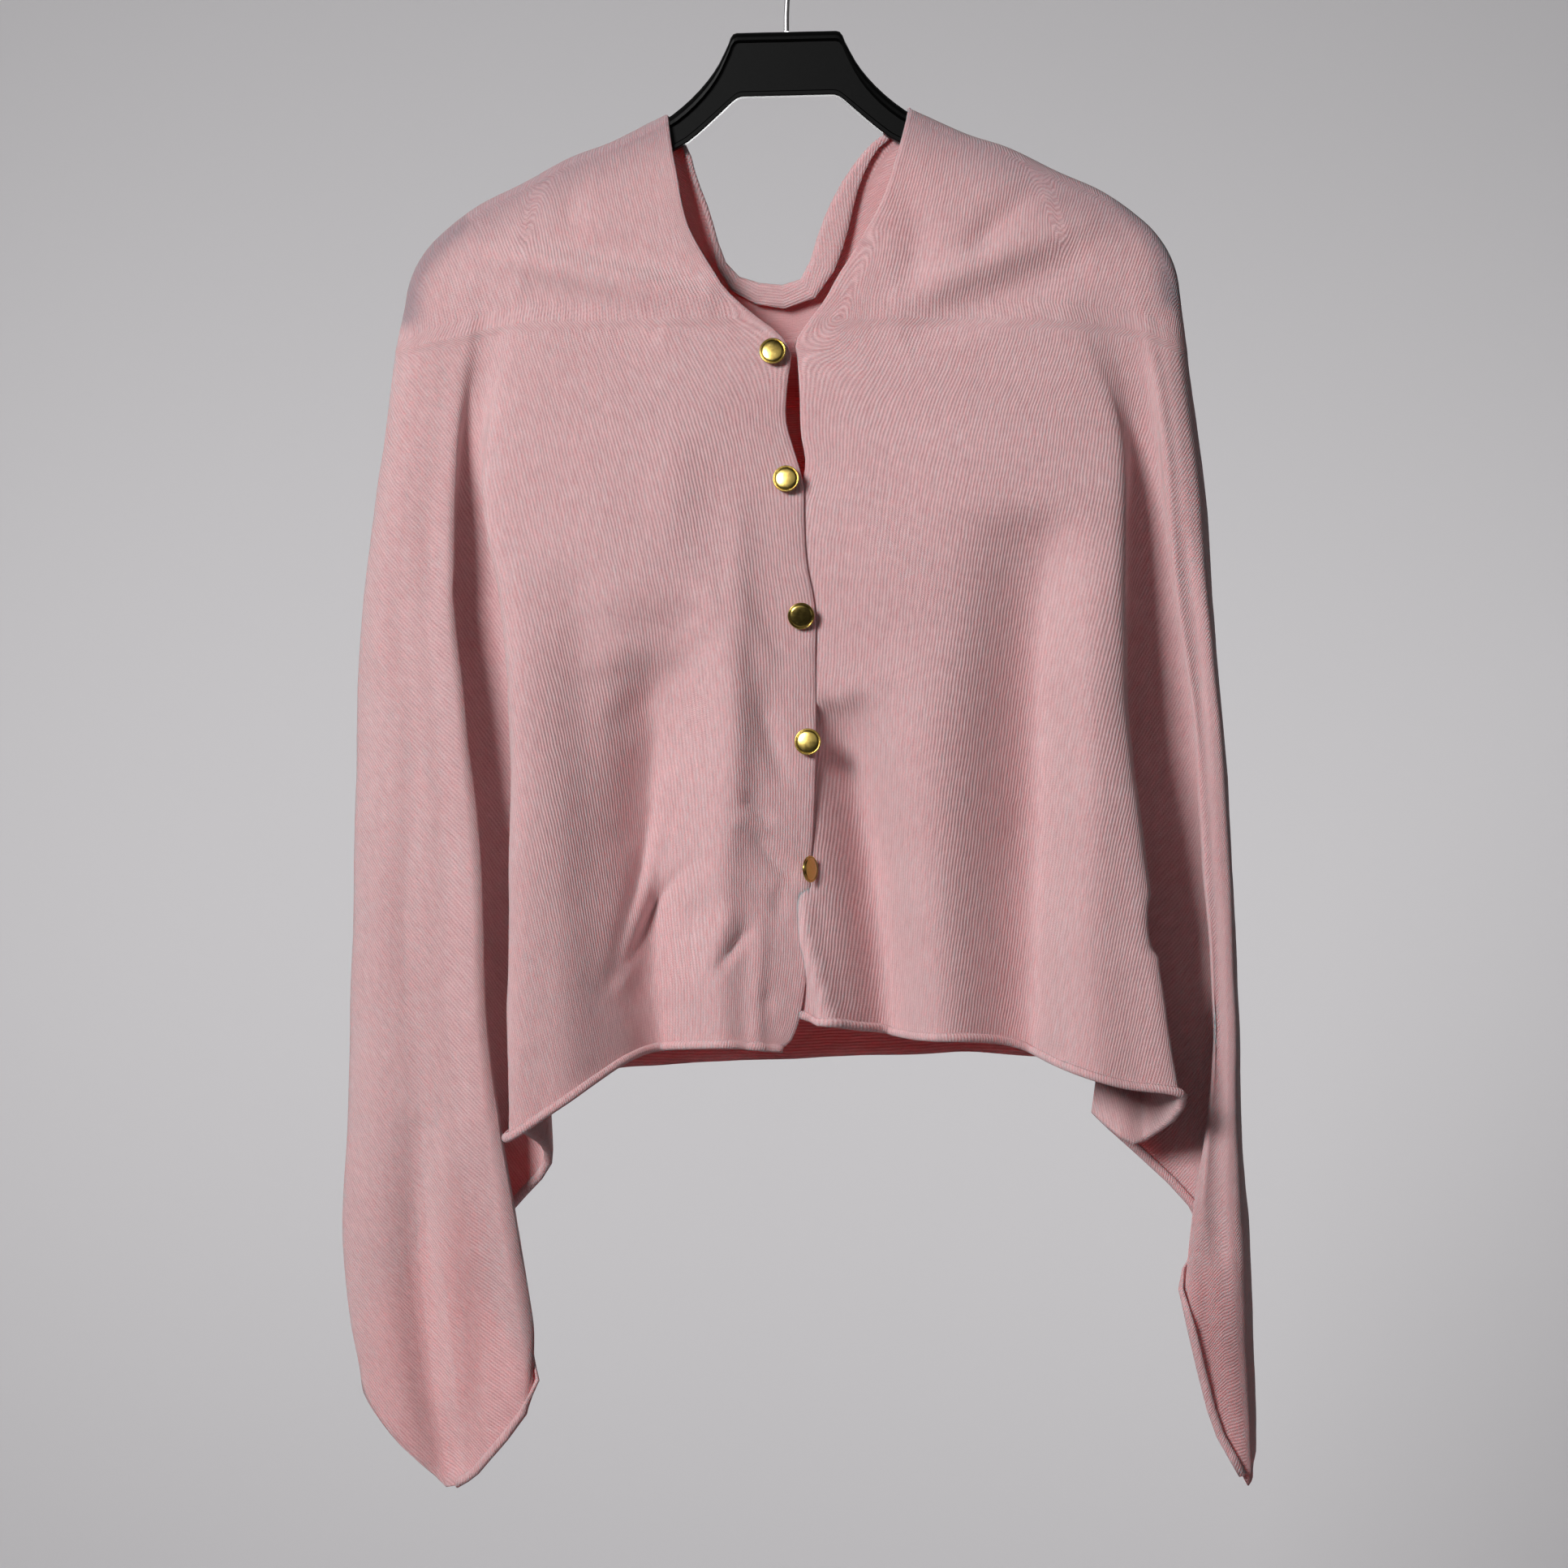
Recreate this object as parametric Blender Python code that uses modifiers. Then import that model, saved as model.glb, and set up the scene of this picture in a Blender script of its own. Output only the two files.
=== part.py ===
# A knitted wrap poncho, buttoned down the front, on a shaped plastic hanger.
#
# The garment is one knitted rectangle. Its middle lies over the hanger's arms, its two short edges
# are the front hems, and one long edge makes the front openings, the V neck and the back neck.
# All sizes are in millimetres from the inside of the hook's bend: X is to the viewer's right,
# Y goes away from the viewer and Z is up. Left and right are the viewer's.

import math

import bmesh
import bpy
import numpy as np
from mathutils import Matrix, Vector

MM = 0.001

# Cloth
WALL = 1.3  # thickness of the knit
SEAM = 0.3  # gap between the stretches of cloth
YOKE = -246.0  # height of the top button, where the yoke ends and the folds begin
ROLL_RADIUS = 2.0  # rolled hem
ROLL_TURN = 250.0  # degrees that the hem rolls outwards
LIP_RADIUS = 2.6  # turned-in edge of the back neck
LIP_TURN = 180.0
LIP_START = 4  # columns from the neck point to the start of the turned-in edge
SHARPEST_TURN = 73.0  # half the sharpest fold that a seam is cut for

# Hanger
ARM_RADIUS = 5.0  # half thickness of the arm's upper flange
WEB = 2.0  # half thickness of the arm's web
LOWER_FLANGE = 3.6
WRAP = 6.7  # radius of the cloth's middle over the arm
HANGER_TOP = -75.0
HANGER_TILT = 1.3  # degrees, the right arm higher
HOOK_WIRE = 2.9
HOOK_BEND = 18.0  # inside radius of the hook

# Buttons
BUTTON = 15.0
BUTTON_GAP = 0.3
SHANK = 1.9

# Columns across each stretch of cloth and rows down it
PLACE_STEPS = 27
NECK_STEPS = 20
NECK_CROWDING = 1.6  # how much closer the columns lie towards the ends of the back neck
YOKE_ROWS = 4
BODY_ROWS = 12

# Upper edge of an arm, then its lower edge, from the middle outwards
ARM_EDGES = (
    # upper x, z, lower x, z
    (0, -75, 0, -111.6),
    (24, -75, 20, -111.6),
    (30.5, -75.8, 27, -111.8),
    (33.5, -82, 31, -114),
    (39.5, -93.5, 35.5, -118),
    (47, -103.5, 41, -123),
    (57, -113.5, 49, -130),
    (69, -122.6, 59.5, -138),
    (85, -130.3, 77, -146),
    (100, -137.3, 93, -153),
    (122, -145, 116, -161),
    (150, -159.3, 142.5, -175),
    (178, -172.8, 169, -188),
    (194, -184.6, 182.5, -198),
    (204, -194, 190.5, -206),
    (211.5, -205, 195.5, -214),
    (216.3, -218.4, 198.5, -223.5),
    (217.6, -230, 200.5, -231.5),
)
FIRST_CLOTH_STATION = 7  # the row above where the cloth starts

# Front edges, from the neck point down to the hem
LEFT_EDGE = (
    # height, x
    (-123, -70),
    (-143.5, -66),
    (-159, -63),
    (-176, -60),
    (-188, -56.5),
    (-199, -51),
    (-212, -43),
    (-223, -36),
    (-237, -21),
    (-249, -5.5),
    (-259, 1),
    (-270, 0),
    (-284, -1.5),
    (-298, -1.5),
    (-316, 3.5),
    (-333, 8),
    (-353, 8.7),
    (-381, 10.6),
    (-399, 14.2),
    (-436, 15),
    (-478, 15.3),
    (-517, 14),
    (-563, 11.7),
    (-609, 10.3),
    (-632, 6.5),
)
RIGHT_EDGE = (
    # height, x
    (-119, 70),
    (-135, 67),
    (-152.5, 62),
    (-162.5, 59),
    (-176, 53.5),
    (-189.5, 46),
    (-203.5, 38),
    (-215, 30.5),
    (-230.5, 22),
    (-243.5, 12),
    (-254, 6.5),
    (-260.5, 7.3),
    (-279, 8.7),
    (-307, 9.8),
    (-320, 12),
    (-331, 10.5),
    (-345, 6),
    (-400, 3),
    (-470, 2),
    (-550, 3),
    (-600, 5),
    (-629, 7.7),
)

# Sections of each front: where its main folds are, seen from the front
LEFT_WIDTHS = (
    # height, ridge, valley, inner, wing, trough, side
    (-246, -150, -165, -172, -180, -200, -220),
    (-300, -165, -176, -182, -187, -207, -226.5),
    (-340, -173, -180, -184, -188, -212, -232.5),
    (-400, -159, -169, -180, -188.5, -218, -239.5),
    (-470, -153.5, -156, -169, -179.5, -214, -243.5),
    (-550, -154, -148, -162, -168.5, -214, -244.5),
    (-630, -153.5, -140, -158, -162, -213, -247),
    (-700, -152, -134, -160, -156, -211, -249),
    (-760, -152, -132, -168, -150.5, -208, -251.5),
    (-812, -152, -132, -168, -142.5, -203, -246),
    (-845, -152, -132, -168, -144, -199, -240),
    (-902, -152, -132, -168, -146, -191, -238),
)
LEFT_DEPTHS = (
    # height, edge, ridge, valley, inner, wing, trough, round, side
    (-246, -18, -17, -14, -13, -14, -12, -9, 0),
    (-300, -21, -24, -18, -17, -18, -14, -11, 0),
    (-340, -24, -29, -18, -17, -21, -16, -13, 0),
    (-400, -28, -37, -10, -12, -24, -16, -15, 0),
    (-470, -32, -46, 0, -4, -27, -15, -17, 0),
    (-550, -36, -54, 6, 2, -30, -14, -18, 0),
    (-630, -39, -61, 4, 6, -32, -14, -18, 0),
    (-700, -41, -66, -6, 9, -32, -14, -17, 0),
    (-760, -42, -66, -12, 10, -28, -13, -15, 0),
    (-812, -42, -66, -12, 10, -19, -12, -12, 0),
    (-902, -42, -66, -12, 10, -14, -8, -8, 0),
)
RIGHT_WIDTHS = (
    # height, ridge, valley, inner, wing, trough, side
    (-246, 150, 168, 177, 186, 206, 224),
    (-300, 168, 184, 192, 200, 216, 230),
    (-340, 186, 198, 204, 209, 222, 238),
    (-400, 194, 204, 210, 216, 230, 241.5),
    (-460, 190, 200, 215, 226, 236, 246.5),
    (-520, 198, 198, 217, 230.5, 241, 251),
    (-580, 205, 192, 219, 231, 243, 254),
    (-640, 211, 182, 222, 231, 245, 256.5),
    (-700, 220, 172, 228, 231, 246, 258),
    (-760, 220, 172, 238, 226.5, 249, 263),
    (-812, 220, 172, 238, 223, 253, 265.5),
    (-902, 220, 172, 238, 222, 260, 267),
)
RIGHT_DEPTHS = (
    # height, edge, ridge, valley, inner, wing, trough, round, side
    (-246, -14, -16, -13, -13, -13, -11, -9, 0),
    (-300, -17, -23, -17, -17, -18, -14, -10, 2),
    (-340, -20, -28, -16, -16, -19, -16, -11, 3),
    (-400, -23, -35, -8, -11, -19, -16, -11, 5),
    (-460, -27, -43, 0, -5, -20, -15, -10, 6),
    (-520, -31, -50, 6, 0, -22, -15, -8, 8),
    (-580, -32, -56, 10, 4, -24, -14, -6, 10),
    (-640, -31.5, -61, 8, 6, -25, -12, -4, 12),
    (-700, -31.5, -64, -8, 6, -25, -10, -2, 14),
    (-760, -31.5, -64, -12, 8, -24, -8, 0, 15),
    (-812, -31.5, -64, -12, 8, -22, -6, 2, 16),
    (-902, -31.5, -64, -12, 8, -18, -4, 4, 16),
)

# Sections of the back, the same way
BACK_LEFT_WIDTHS = (
    # height, neck, ridge, valley, wing
    (-246, -66, -140, -168, -196),
    (-340, -66, -158, -182, -208),
    (-440, -67, -166, -190, -215),
    (-540, -68, -170, -195, -220),
    (-640, -70, -170, -198, -224),
    (-740, -70, -168, -200, -228),
    (-872, -70, -166, -202, -232),
)
BACK_LEFT_DEPTHS = (
    # height, neck, panel, ridge, valley, wing, round
    (-246, 14, 17, 17, 13, 11, 9),
    (-340, 18, 22, 28, 18, 19, 12),
    (-440, 22, 28, 42, 17, 26, 15),
    (-540, 28, 37, 54, 16, 31, 17),
    (-640, 34, 46, 64, 18, 34, 19),
    (-740, 38, 50, 70, 20, 36, 20),
    (-872, 38, 50, 70, 20, 36, 20),
)
BACK_RIGHT_WIDTHS = (
    # height, neck, ridge, valley, wing
    (-246, 66, 140, 170, 198),
    (-340, 66, 158, 186, 214),
    (-440, 68, 168, 196, 224),
    (-540, 70, 174, 202, 232),
    (-640, 71, 177, 206, 238),
    (-740, 72, 178, 208, 242),
    (-872, 72, 178, 210, 246),
)
BACK_RIGHT_DEPTHS = (
    # height, neck, panel, ridge, valley, wing, round
    (-246, 14, 17, 17, 13, 11, 9),
    (-340, 18, 21, 27, 17, 22, 16),
    (-440, 24, 26, 40, 18, 32, 24),
    (-540, 30, 34, 52, 20, 40, 30),
    (-640, 33, 42, 62, 24, 46, 36),
    (-740, 36, 46, 66, 28, 50, 40),
    (-872, 36, 46, 66, 30, 50, 42),
)
BACK_MIDDLE_DEPTHS = (
    # height, left of the middle, middle, right of the middle
    (-246, 23, 29, 24),
    (-290, 25, 28, 25),
    (-340, 23, 24, 22),
    (-440, 27, 27, 29),
    (-540, 34, 30, 36),
    (-661, 43, 35, 42),
)

# Folds from the front edge round to the side: place along the shoulder, 0 at the neck and 1 at the
# arm's tip, and the height at which the fold meets the hem
LEFT_FRONT_FOLDS = (
    ("edge", 0.0, -630.5),
    ("chest_1", 0.10, -648),
    ("chest_2", 0.20, -653),
    ("chest_3", 0.29, -680),
    ("ridge", 0.36, -697),
    ("wall", 0.43, -695),
    ("valley", 0.50, -716),
    ("inner", 0.57, -765),
    ("wing", 0.64, -838),
    ("drape", 0.71, -883),
    ("trough", 0.79, -902),
    ("round", 0.90, -873),
    ("side", 1.0, -847),
)
RIGHT_FRONT_FOLDS = (
    ("edge", 0.0, -627),
    ("chest_1", 0.10, -641),
    ("chest_2", 0.20, -645),
    ("chest_3", 0.29, -666),
    ("ridge", 0.36, -674),
    ("wall", 0.43, -702),
    ("valley", 0.50, -687),
    ("inner", 0.57, -750),
    ("wing", 0.64, -786),
    ("drape", 0.71, -856),
    ("trough", 0.79, -899),
    ("round", 0.90, -888),
    ("side", 1.0, -873),
)
LEFT_BACK_FOLDS = (
    ("round", 0.90, -832),
    ("wing", 0.78, -795),
    ("valley", 0.66, -752),
    ("wall", 0.58, -735),
    ("ridge", 0.50, -722),
    ("panel_2", 0.34, -684),
    ("panel_1", 0.17, -668),
    ("neck", 0.0, -664),
)
RIGHT_BACK_FOLDS = (
    ("round", 0.90, -836),
    ("wing", 0.78, -768),
    ("valley", 0.66, -702),
    ("wall", 0.58, -688),
    ("ridge", 0.50, -663),
    ("panel_2", 0.34, -660),
    ("panel_1", 0.17, -657),
    ("neck", 0.0, -658),
)
MIDDLE_FOLDS = (
    ("middle_1", 0.25, -662),
    ("middle_2", 0.5, -661),
    ("middle_3", 0.75, -659),
)

# Back neck: the fold of the drooping edge, from one shoulder to the other
NECK_EDGE = (
    # x, y, z
    (-70, 0, -121.5),
    (-68.6, 5, -123.6),
    (-66.5, 7.2, -128.5),
    (-58, 9, -139),
    (-52.5, 11, -157),
    (-45.5, 13, -176),
    (-40, 16, -196),
    (-33, 19, -211),
    (-20, 22, -217),
    (-6, 23, -219),
    (7, 22, -218),
    (14.5, 19, -210),
    (19, 17, -196),
    (26.5, 14, -175),
    (37, 11, -155),
    (52, 9, -136),
    (65.8, 7.2, -125.5),
    (68.2, 5, -120.4),
    (70, 0, -118),
)
NECK_CENTRE = (-3, 0, -165)
# How wide the turned-in edge is along the neck
LIP_WIDTHS = (
    # place, width
    (0.0, 2),
    (0.14, 2.5),
    (0.3, 4),
    (0.42, 10),
    (0.5, 12),
    (0.6, 12),
    (0.7, 14),
    (0.8, 13),
    (0.9, 6),
    (1.0, 2),
)

# Buttons: middle of the disc, and how far it leans to the right and upwards, in degrees
BUTTONS = (
    # x, z, lean right, lean up
    (-8.1, -259, 14, 10),
    (0.0, -331, -8, 6),
    (8.2, -408, 0, -3),
    (12.2, -478.5, -10, 4),
    (12.0, -549.4, 38, 2),
)


def curve(knots, rows, at, corners=()):
    """Read a smooth curve through rows of values; it turns sharply at the knots named as corners."""
    knots = np.asarray(knots, float)
    rows = np.asarray(rows, float).reshape(len(knots), -1)
    at = np.clip(np.asarray(at, float), knots[0], knots[-1])
    gaps = np.diff(knots)
    steps = np.diff(rows, axis=0) / gaps[:, None]
    inner = (steps[:-1] * gaps[1:, None] + steps[1:] * gaps[:-1, None]) / (gaps[:-1] + gaps[1:])[:, None]
    slopes = np.vstack([steps[:1], inner, steps[-1:]])
    span = np.clip(np.searchsorted(knots, at, side="right") - 1, 0, len(gaps) - 1)
    t = ((at - knots[span]) / gaps[span])[:, None]
    before = slopes[span].copy()
    after = slopes[span + 1].copy()
    for corner in corners:
        before[span == corner] = steps[corner]
        after[span == corner - 1] = steps[corner - 1]
    start, end, gap = rows[span], rows[span + 1], gaps[span][:, None]
    return (
        start * (1 + 2 * t) * (1 - t) ** 2
        + before * gap * t * (1 - t) ** 2
        + end * t * t * (3 - 2 * t)
        - after * gap * t * t * (1 - t)
    )


def by_height(table, column, heights):
    """Read one column of a table whose first column is the height."""
    rows = sorted(table)
    return curve([r[0] for r in rows], [r[column] for r in rows], heights)[:, 0]


def tilt(x, z):
    """Turn a point of the upright hanger by the hanger's tilt, about the foot of its hook."""
    angle = math.radians(HANGER_TILT)
    z = z - HANGER_TOP
    return x * math.cos(angle) - z * math.sin(angle), HANGER_TOP + x * math.sin(angle) + z * math.cos(angle)


def shoulder(side, places):
    """Points of the cloth's middle along an arm, from neck to tip, with the cosine of its slope."""
    rows = np.array([row[:2] for row in ARM_EDGES[FIRST_CLOTH_STATION:]], float)
    along = np.gradient(rows, axis=0)
    along /= np.linalg.norm(along, axis=1)[:, None]
    rows += np.stack([-along[:, 1], along[:, 0]], axis=1) * (WRAP - ARM_RADIUS)
    lengths = np.concatenate([[0], np.cumsum(np.linalg.norm(np.diff(rows, axis=0), axis=1))])
    at = np.asarray(places, float) * lengths[-1]
    points = curve(lengths, rows, at)
    ahead = curve(lengths, rows, np.minimum(at + 1, lengths[-1]))
    behind = curve(lengths, rows, np.maximum(at - 1, 0))
    run = ahead - behind
    cosine = np.abs(run[:, 0]) / np.linalg.norm(run, axis=1)
    x, z = tilt(side * points[:, 0], points[:, 1])
    return np.stack([x, np.zeros(len(x)), z], axis=1), cosine


def row_heights(top, drop, hem):
    """Heights of the rows of one fold: over the arm, down the yoke, then down to the hem."""
    over = [top - drop * (1 - math.cos(a)) for a in np.radians((0, 30, 60))]
    start = top - drop
    yoke = [start + (YOKE - start) * i / YOKE_ROWS for i in range(YOKE_ROWS)]
    body = [YOKE + (hem - YOKE) * i / BODY_ROWS for i in range(BODY_ROWS + 1)]
    return np.array(over + yoke + body)


def fold_line(top, cosine, hem, widths, depths, facing, edge=None):
    """Points of one fold from the shoulder to the hem. Facing is -1 in front and 1 behind."""
    drop = min(WRAP / max(cosine, 0.05), 0.5 * (top[2] - YOKE))
    heights = row_heights(top[2], drop, hem)
    rows = [(top[2], top[0])] + [row for row in widths if row[0] <= YOKE]
    xs = curve([r[0] for r in rows][::-1], [r[1] for r in rows][::-1], heights)
    if edge:
        rows = sorted(edge)
        rows[-1] = (top[2], top[0])
        xs = curve([r[0] for r in rows], [r[1] for r in rows], heights)
    side = depths[0][1] == 0  # the outer edge, which lies in the plane of the hanger
    start = 0.0 if side else facing * WRAP
    rows = [(top[2] - drop, start)] + list(depths)
    ys = curve([r[0] for r in rows][::-1], [r[1] for r in rows][::-1], heights)[:, 0]
    for i, angle in enumerate(np.radians((0, 30, 60))):
        ys[i] = 0.0 if side else facing * WRAP * math.sin(angle)
    return np.stack([xs[:, 0], ys, heights], axis=1)


def pick(table, *columns):
    """One column of a table with the heights, or two columns blended by a share."""
    if len(columns) == 1:
        return [(row[0], row[columns[0]]) for row in table]
    first, second, share = columns
    return [(row[0], row[first] * (1 - share) + row[second] * share) for row in table]


def front_folds(side):
    """Fold lines of one front, from its edge to its side."""
    folds = LEFT_FRONT_FOLDS if side < 0 else RIGHT_FRONT_FOLDS
    widths = LEFT_WIDTHS if side < 0 else RIGHT_WIDTHS
    depths = LEFT_DEPTHS if side < 0 else RIGHT_DEPTHS
    edge = LEFT_EDGE if side < 0 else RIGHT_EDGE
    # the edge's own x at the heights of the sections, so that the chest folds share it
    table = [(row[0], float(by_height(edge, 1, [row[0]])[0]), *row[1:]) for row in widths]
    x_of = {
        "edge": pick(table, 1),
        "chest_1": pick(table, 1, 2, 0.28),
        "chest_2": pick(table, 1, 2, 0.56),
        "chest_3": pick(table, 1, 2, 0.84),
        "ridge": pick(table, 2),
        "wall": [(h, v + side * 2 * (h < -420)) for h, v in pick(table, 2, 3, 0.5)],
        "valley": pick(table, 3),
        "inner": pick(table, 4),
        "wing": pick(table, 5),
        "drape": pick(table, 5, 6, 0.5),
        "trough": pick(table, 6),
        "round": pick(table, 6, 7, 0.6),
        "side": pick(table, 7),
    }
    bulge = [(row[0], min(1.0, (YOKE - row[0] + 60) / 160)) for row in depths]
    y_of = {
        "edge": pick(depths, 1),
        "chest_1": [(h, v - 5 * b[1]) for (h, v), b in zip(pick(depths, 1, 2, 0.28), bulge)],
        "chest_2": [(h, v - 8 * b[1]) for (h, v), b in zip(pick(depths, 1, 2, 0.56), bulge)],
        "chest_3": [(h, v - 5 * b[1]) for (h, v), b in zip(pick(depths, 1, 2, 0.9), bulge)],
        "ridge": pick(depths, 2),
        "wall": pick(depths, 2, 3, 0.52),
        "valley": pick(depths, 3),
        "inner": pick(depths, 4),
        "wing": pick(depths, 5),
        "drape": pick(depths, 5, 6, 0.5),
        "trough": pick(depths, 6),
        "round": pick(depths, 7),
        "side": pick(depths, 8),
    }
    lines = []
    for name, place, hem in folds:
        points, cosine = shoulder(side, [place])
        rows = edge if name == "edge" else None
        lines.append(fold_line(points[0], cosine[0], hem, x_of[name], y_of[name], -1, rows))
    return lines


def back_folds(side):
    """Fold lines of half the back, from the side to the neck, without the side itself."""
    folds = LEFT_BACK_FOLDS if side < 0 else RIGHT_BACK_FOLDS
    widths = BACK_LEFT_WIDTHS if side < 0 else BACK_RIGHT_WIDTHS
    depths = BACK_LEFT_DEPTHS if side < 0 else BACK_RIGHT_DEPTHS
    front = LEFT_WIDTHS if side < 0 else RIGHT_WIDTHS
    table = [(*row, float(by_height(front, 6, [row[0]])[0])) for row in widths]
    x_of = {
        "round": pick(table, 4, 5, 0.6),
        "wing": pick(table, 4),
        "valley": pick(table, 3),
        "wall": pick(table, 2, 3, 0.5),
        "ridge": pick(table, 2),
        "panel_2": pick(table, 1, 2, 0.66),
        "panel_1": pick(table, 1, 2, 0.33),
        "neck": pick(table, 1),
    }
    y_of = {
        "round": pick(depths, 6),
        "wing": pick(depths, 5),
        "valley": pick(depths, 4),
        "wall": pick(depths, 3, 4, 0.5),
        "ridge": pick(depths, 3),
        "panel_2": pick(depths, 2, 3, 0.3),
        "panel_1": pick(depths, 1, 2, 0.7),
        "neck": pick(depths, 1),
    }
    lines = []
    for name, place, hem in folds:
        points, cosine = shoulder(side, [place])
        lines.append(fold_line(points[0], cosine[0], hem, x_of[name], y_of[name], 1))
    return lines


def neck_places():
    """Where the columns meet the back neck, from 0 at the left to 1 at the right."""
    from_end = np.linspace(0, 1, NECK_STEPS // 2 + 1) ** NECK_CROWDING / 2
    return np.concatenate([from_end, 1 - from_end[-2::-1]])


def neck_edge(places):
    """Points of the back neck's edge, from the left shoulder to the right one."""
    rows = np.array(NECK_EDGE, float)
    rows[0] = shoulder(-1, [0])[0][0]
    rows[-1] = shoulder(1, [0])[0][0]
    lengths = np.concatenate([[0], np.cumsum(np.linalg.norm(np.diff(rows, axis=0), axis=1))])
    return curve(lengths, rows, np.asarray(places, float) * lengths[-1])


def middle_folds():
    """Fold lines below the back neck."""
    lines = []
    for number, (name, place, hem) in enumerate(MIDDLE_FOLDS):
        top = neck_edge([place])[0]
        share = (place - 0.5) * 2
        xs = [(row[0], share * 68) for row in BACK_MIDDLE_DEPTHS]
        heights = row_heights(top[2], 0.35 * (top[2] - YOKE), hem)
        x = curve([r[0] for r in xs][::-1] + [top[2]], [r[1] for r in xs][::-1] + [top[0]], heights)[:, 0]
        ys = pick(BACK_MIDDLE_DEPTHS, number + 1)
        y = curve([r[0] for r in ys][::-1] + [top[2]], [r[1] for r in ys][::-1] + [top[1]], heights)[:, 0]
        lines.append(np.stack([x, y, heights], axis=1))
    return lines


def garment_folds():
    """Every fold line in order: left front, back from left to right, right front."""
    left, right = front_folds(-1), front_folds(1)
    return left + back_folds(-1) + middle_folds() + back_folds(1)[::-1] + right[::-1]


def column_places():
    """Where each stretch's columns lie: fold number, and the exact point of the top edge."""
    places = np.linspace(0, 1, PLACE_STEPS + 1)
    front_knots = [fold[1] for fold in LEFT_FRONT_FOLDS]
    back_knots = [fold[1] for fold in LEFT_BACK_FOLDS][::-1] + [1.0]
    folds = len(LEFT_FRONT_FOLDS)
    backs = len(LEFT_BACK_FOLDS)
    last = 2 * folds + 2 * backs + len(MIDDLE_FOLDS) - 1
    front = np.interp(places, front_knots, range(folds))
    back = folds - 1 + backs - np.interp(places, back_knots, range(backs + 1))
    neck = neck_places()
    neck_knots = [0] + [fold[1] for fold in MIDDLE_FOLDS] + [1]
    middle = folds - 1 + backs + np.interp(neck, neck_knots, range(len(neck_knots)))
    left_top = shoulder(-1, places)[0]
    right_top = shoulder(1, places)[0]
    return {
        "front_left": (front, left_top),
        "front_right": ((last - front)[::-1], right_top[::-1]),
        "back": (
            np.concatenate([back[::-1], middle[1:], (last - back)[1:]]),
            np.concatenate([left_top[::-1], neck_edge(neck)[1:], right_top[1:]]),
        ),
    }


def stretch_grid(name, lines):
    """Points of one stretch of cloth, [column][row]."""
    numbers, top = column_places()[name]
    rows = len(lines[0])
    flat = np.stack(lines).reshape(len(lines), -1)
    folds = len(LEFT_FRONT_FOLDS)
    corners = (folds - 3, len(lines) - folds + 2)
    smooth = curve(range(len(lines)), flat, numbers).reshape(len(numbers), rows, 3)
    sharp = curve(range(len(lines)), flat, numbers, corners).reshape(len(numbers), rows, 3)
    share = np.linspace(0, 1, rows)[None, :] ** 2
    smooth[:, :, 2] = smooth[:, :, 2] * (1 - share) + sharp[:, :, 2] * share
    fade = np.clip(1 - np.arange(rows) / (YOKE_ROWS + 3), 0, 1) ** 2
    smooth += (top - smooth[:, 0])[:, None, :] * fade[None, :, None]
    return smooth


def grid_normals(grid):
    """Outward directions of a grid of points."""
    across = np.gradient(grid, axis=0)
    down = np.gradient(grid, axis=1)
    normals = np.cross(across, down)
    return normals / np.maximum(np.linalg.norm(normals, axis=2), 1e-9)[:, :, None]


def unit(vectors):
    return vectors / np.maximum(np.linalg.norm(vectors, axis=-1, keepdims=True), 1e-9)


def square_to(edge, directions):
    """Directions turned square to an edge."""
    along = unit(np.gradient(edge, axis=0))
    return unit(directions - along * (directions * along).sum(axis=1, keepdims=True))


def off_the_edge(edge, away, outwards):
    """Directions square to an edge: away from the cloth, and out from its face."""
    away = square_to(edge, away)
    face = unit(np.cross(np.gradient(edge, axis=0), away))
    return away, face * np.sign((face * outwards).sum(axis=1, keepdims=True))


def curl(start, away, towards, radius, degrees, steps):
    """Rows of points that carry an edge on round a curl."""
    angles = np.radians(degrees) * np.arange(1, steps + 1) / steps
    return [start + away * (radius * math.sin(a)) + towards * (radius * (1 - math.cos(a))) for a in angles]


def draw_back(edge, inside, beyond):
    """How far a stretch's edge draws back from a seam, so that its wall clears the next stretch."""
    into = square_to(edge, inside - edge)
    away = square_to(edge, beyond - edge)
    turn = np.arccos(np.clip(-(into * away).sum(axis=1), -1, 1)) / 2
    turn = np.minimum(turn, math.radians(SHARPEST_TURN))
    return into * ((SEAM / 2 + WALL / 2 * np.sin(turn)) / np.cos(turn))[:, None]


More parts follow.
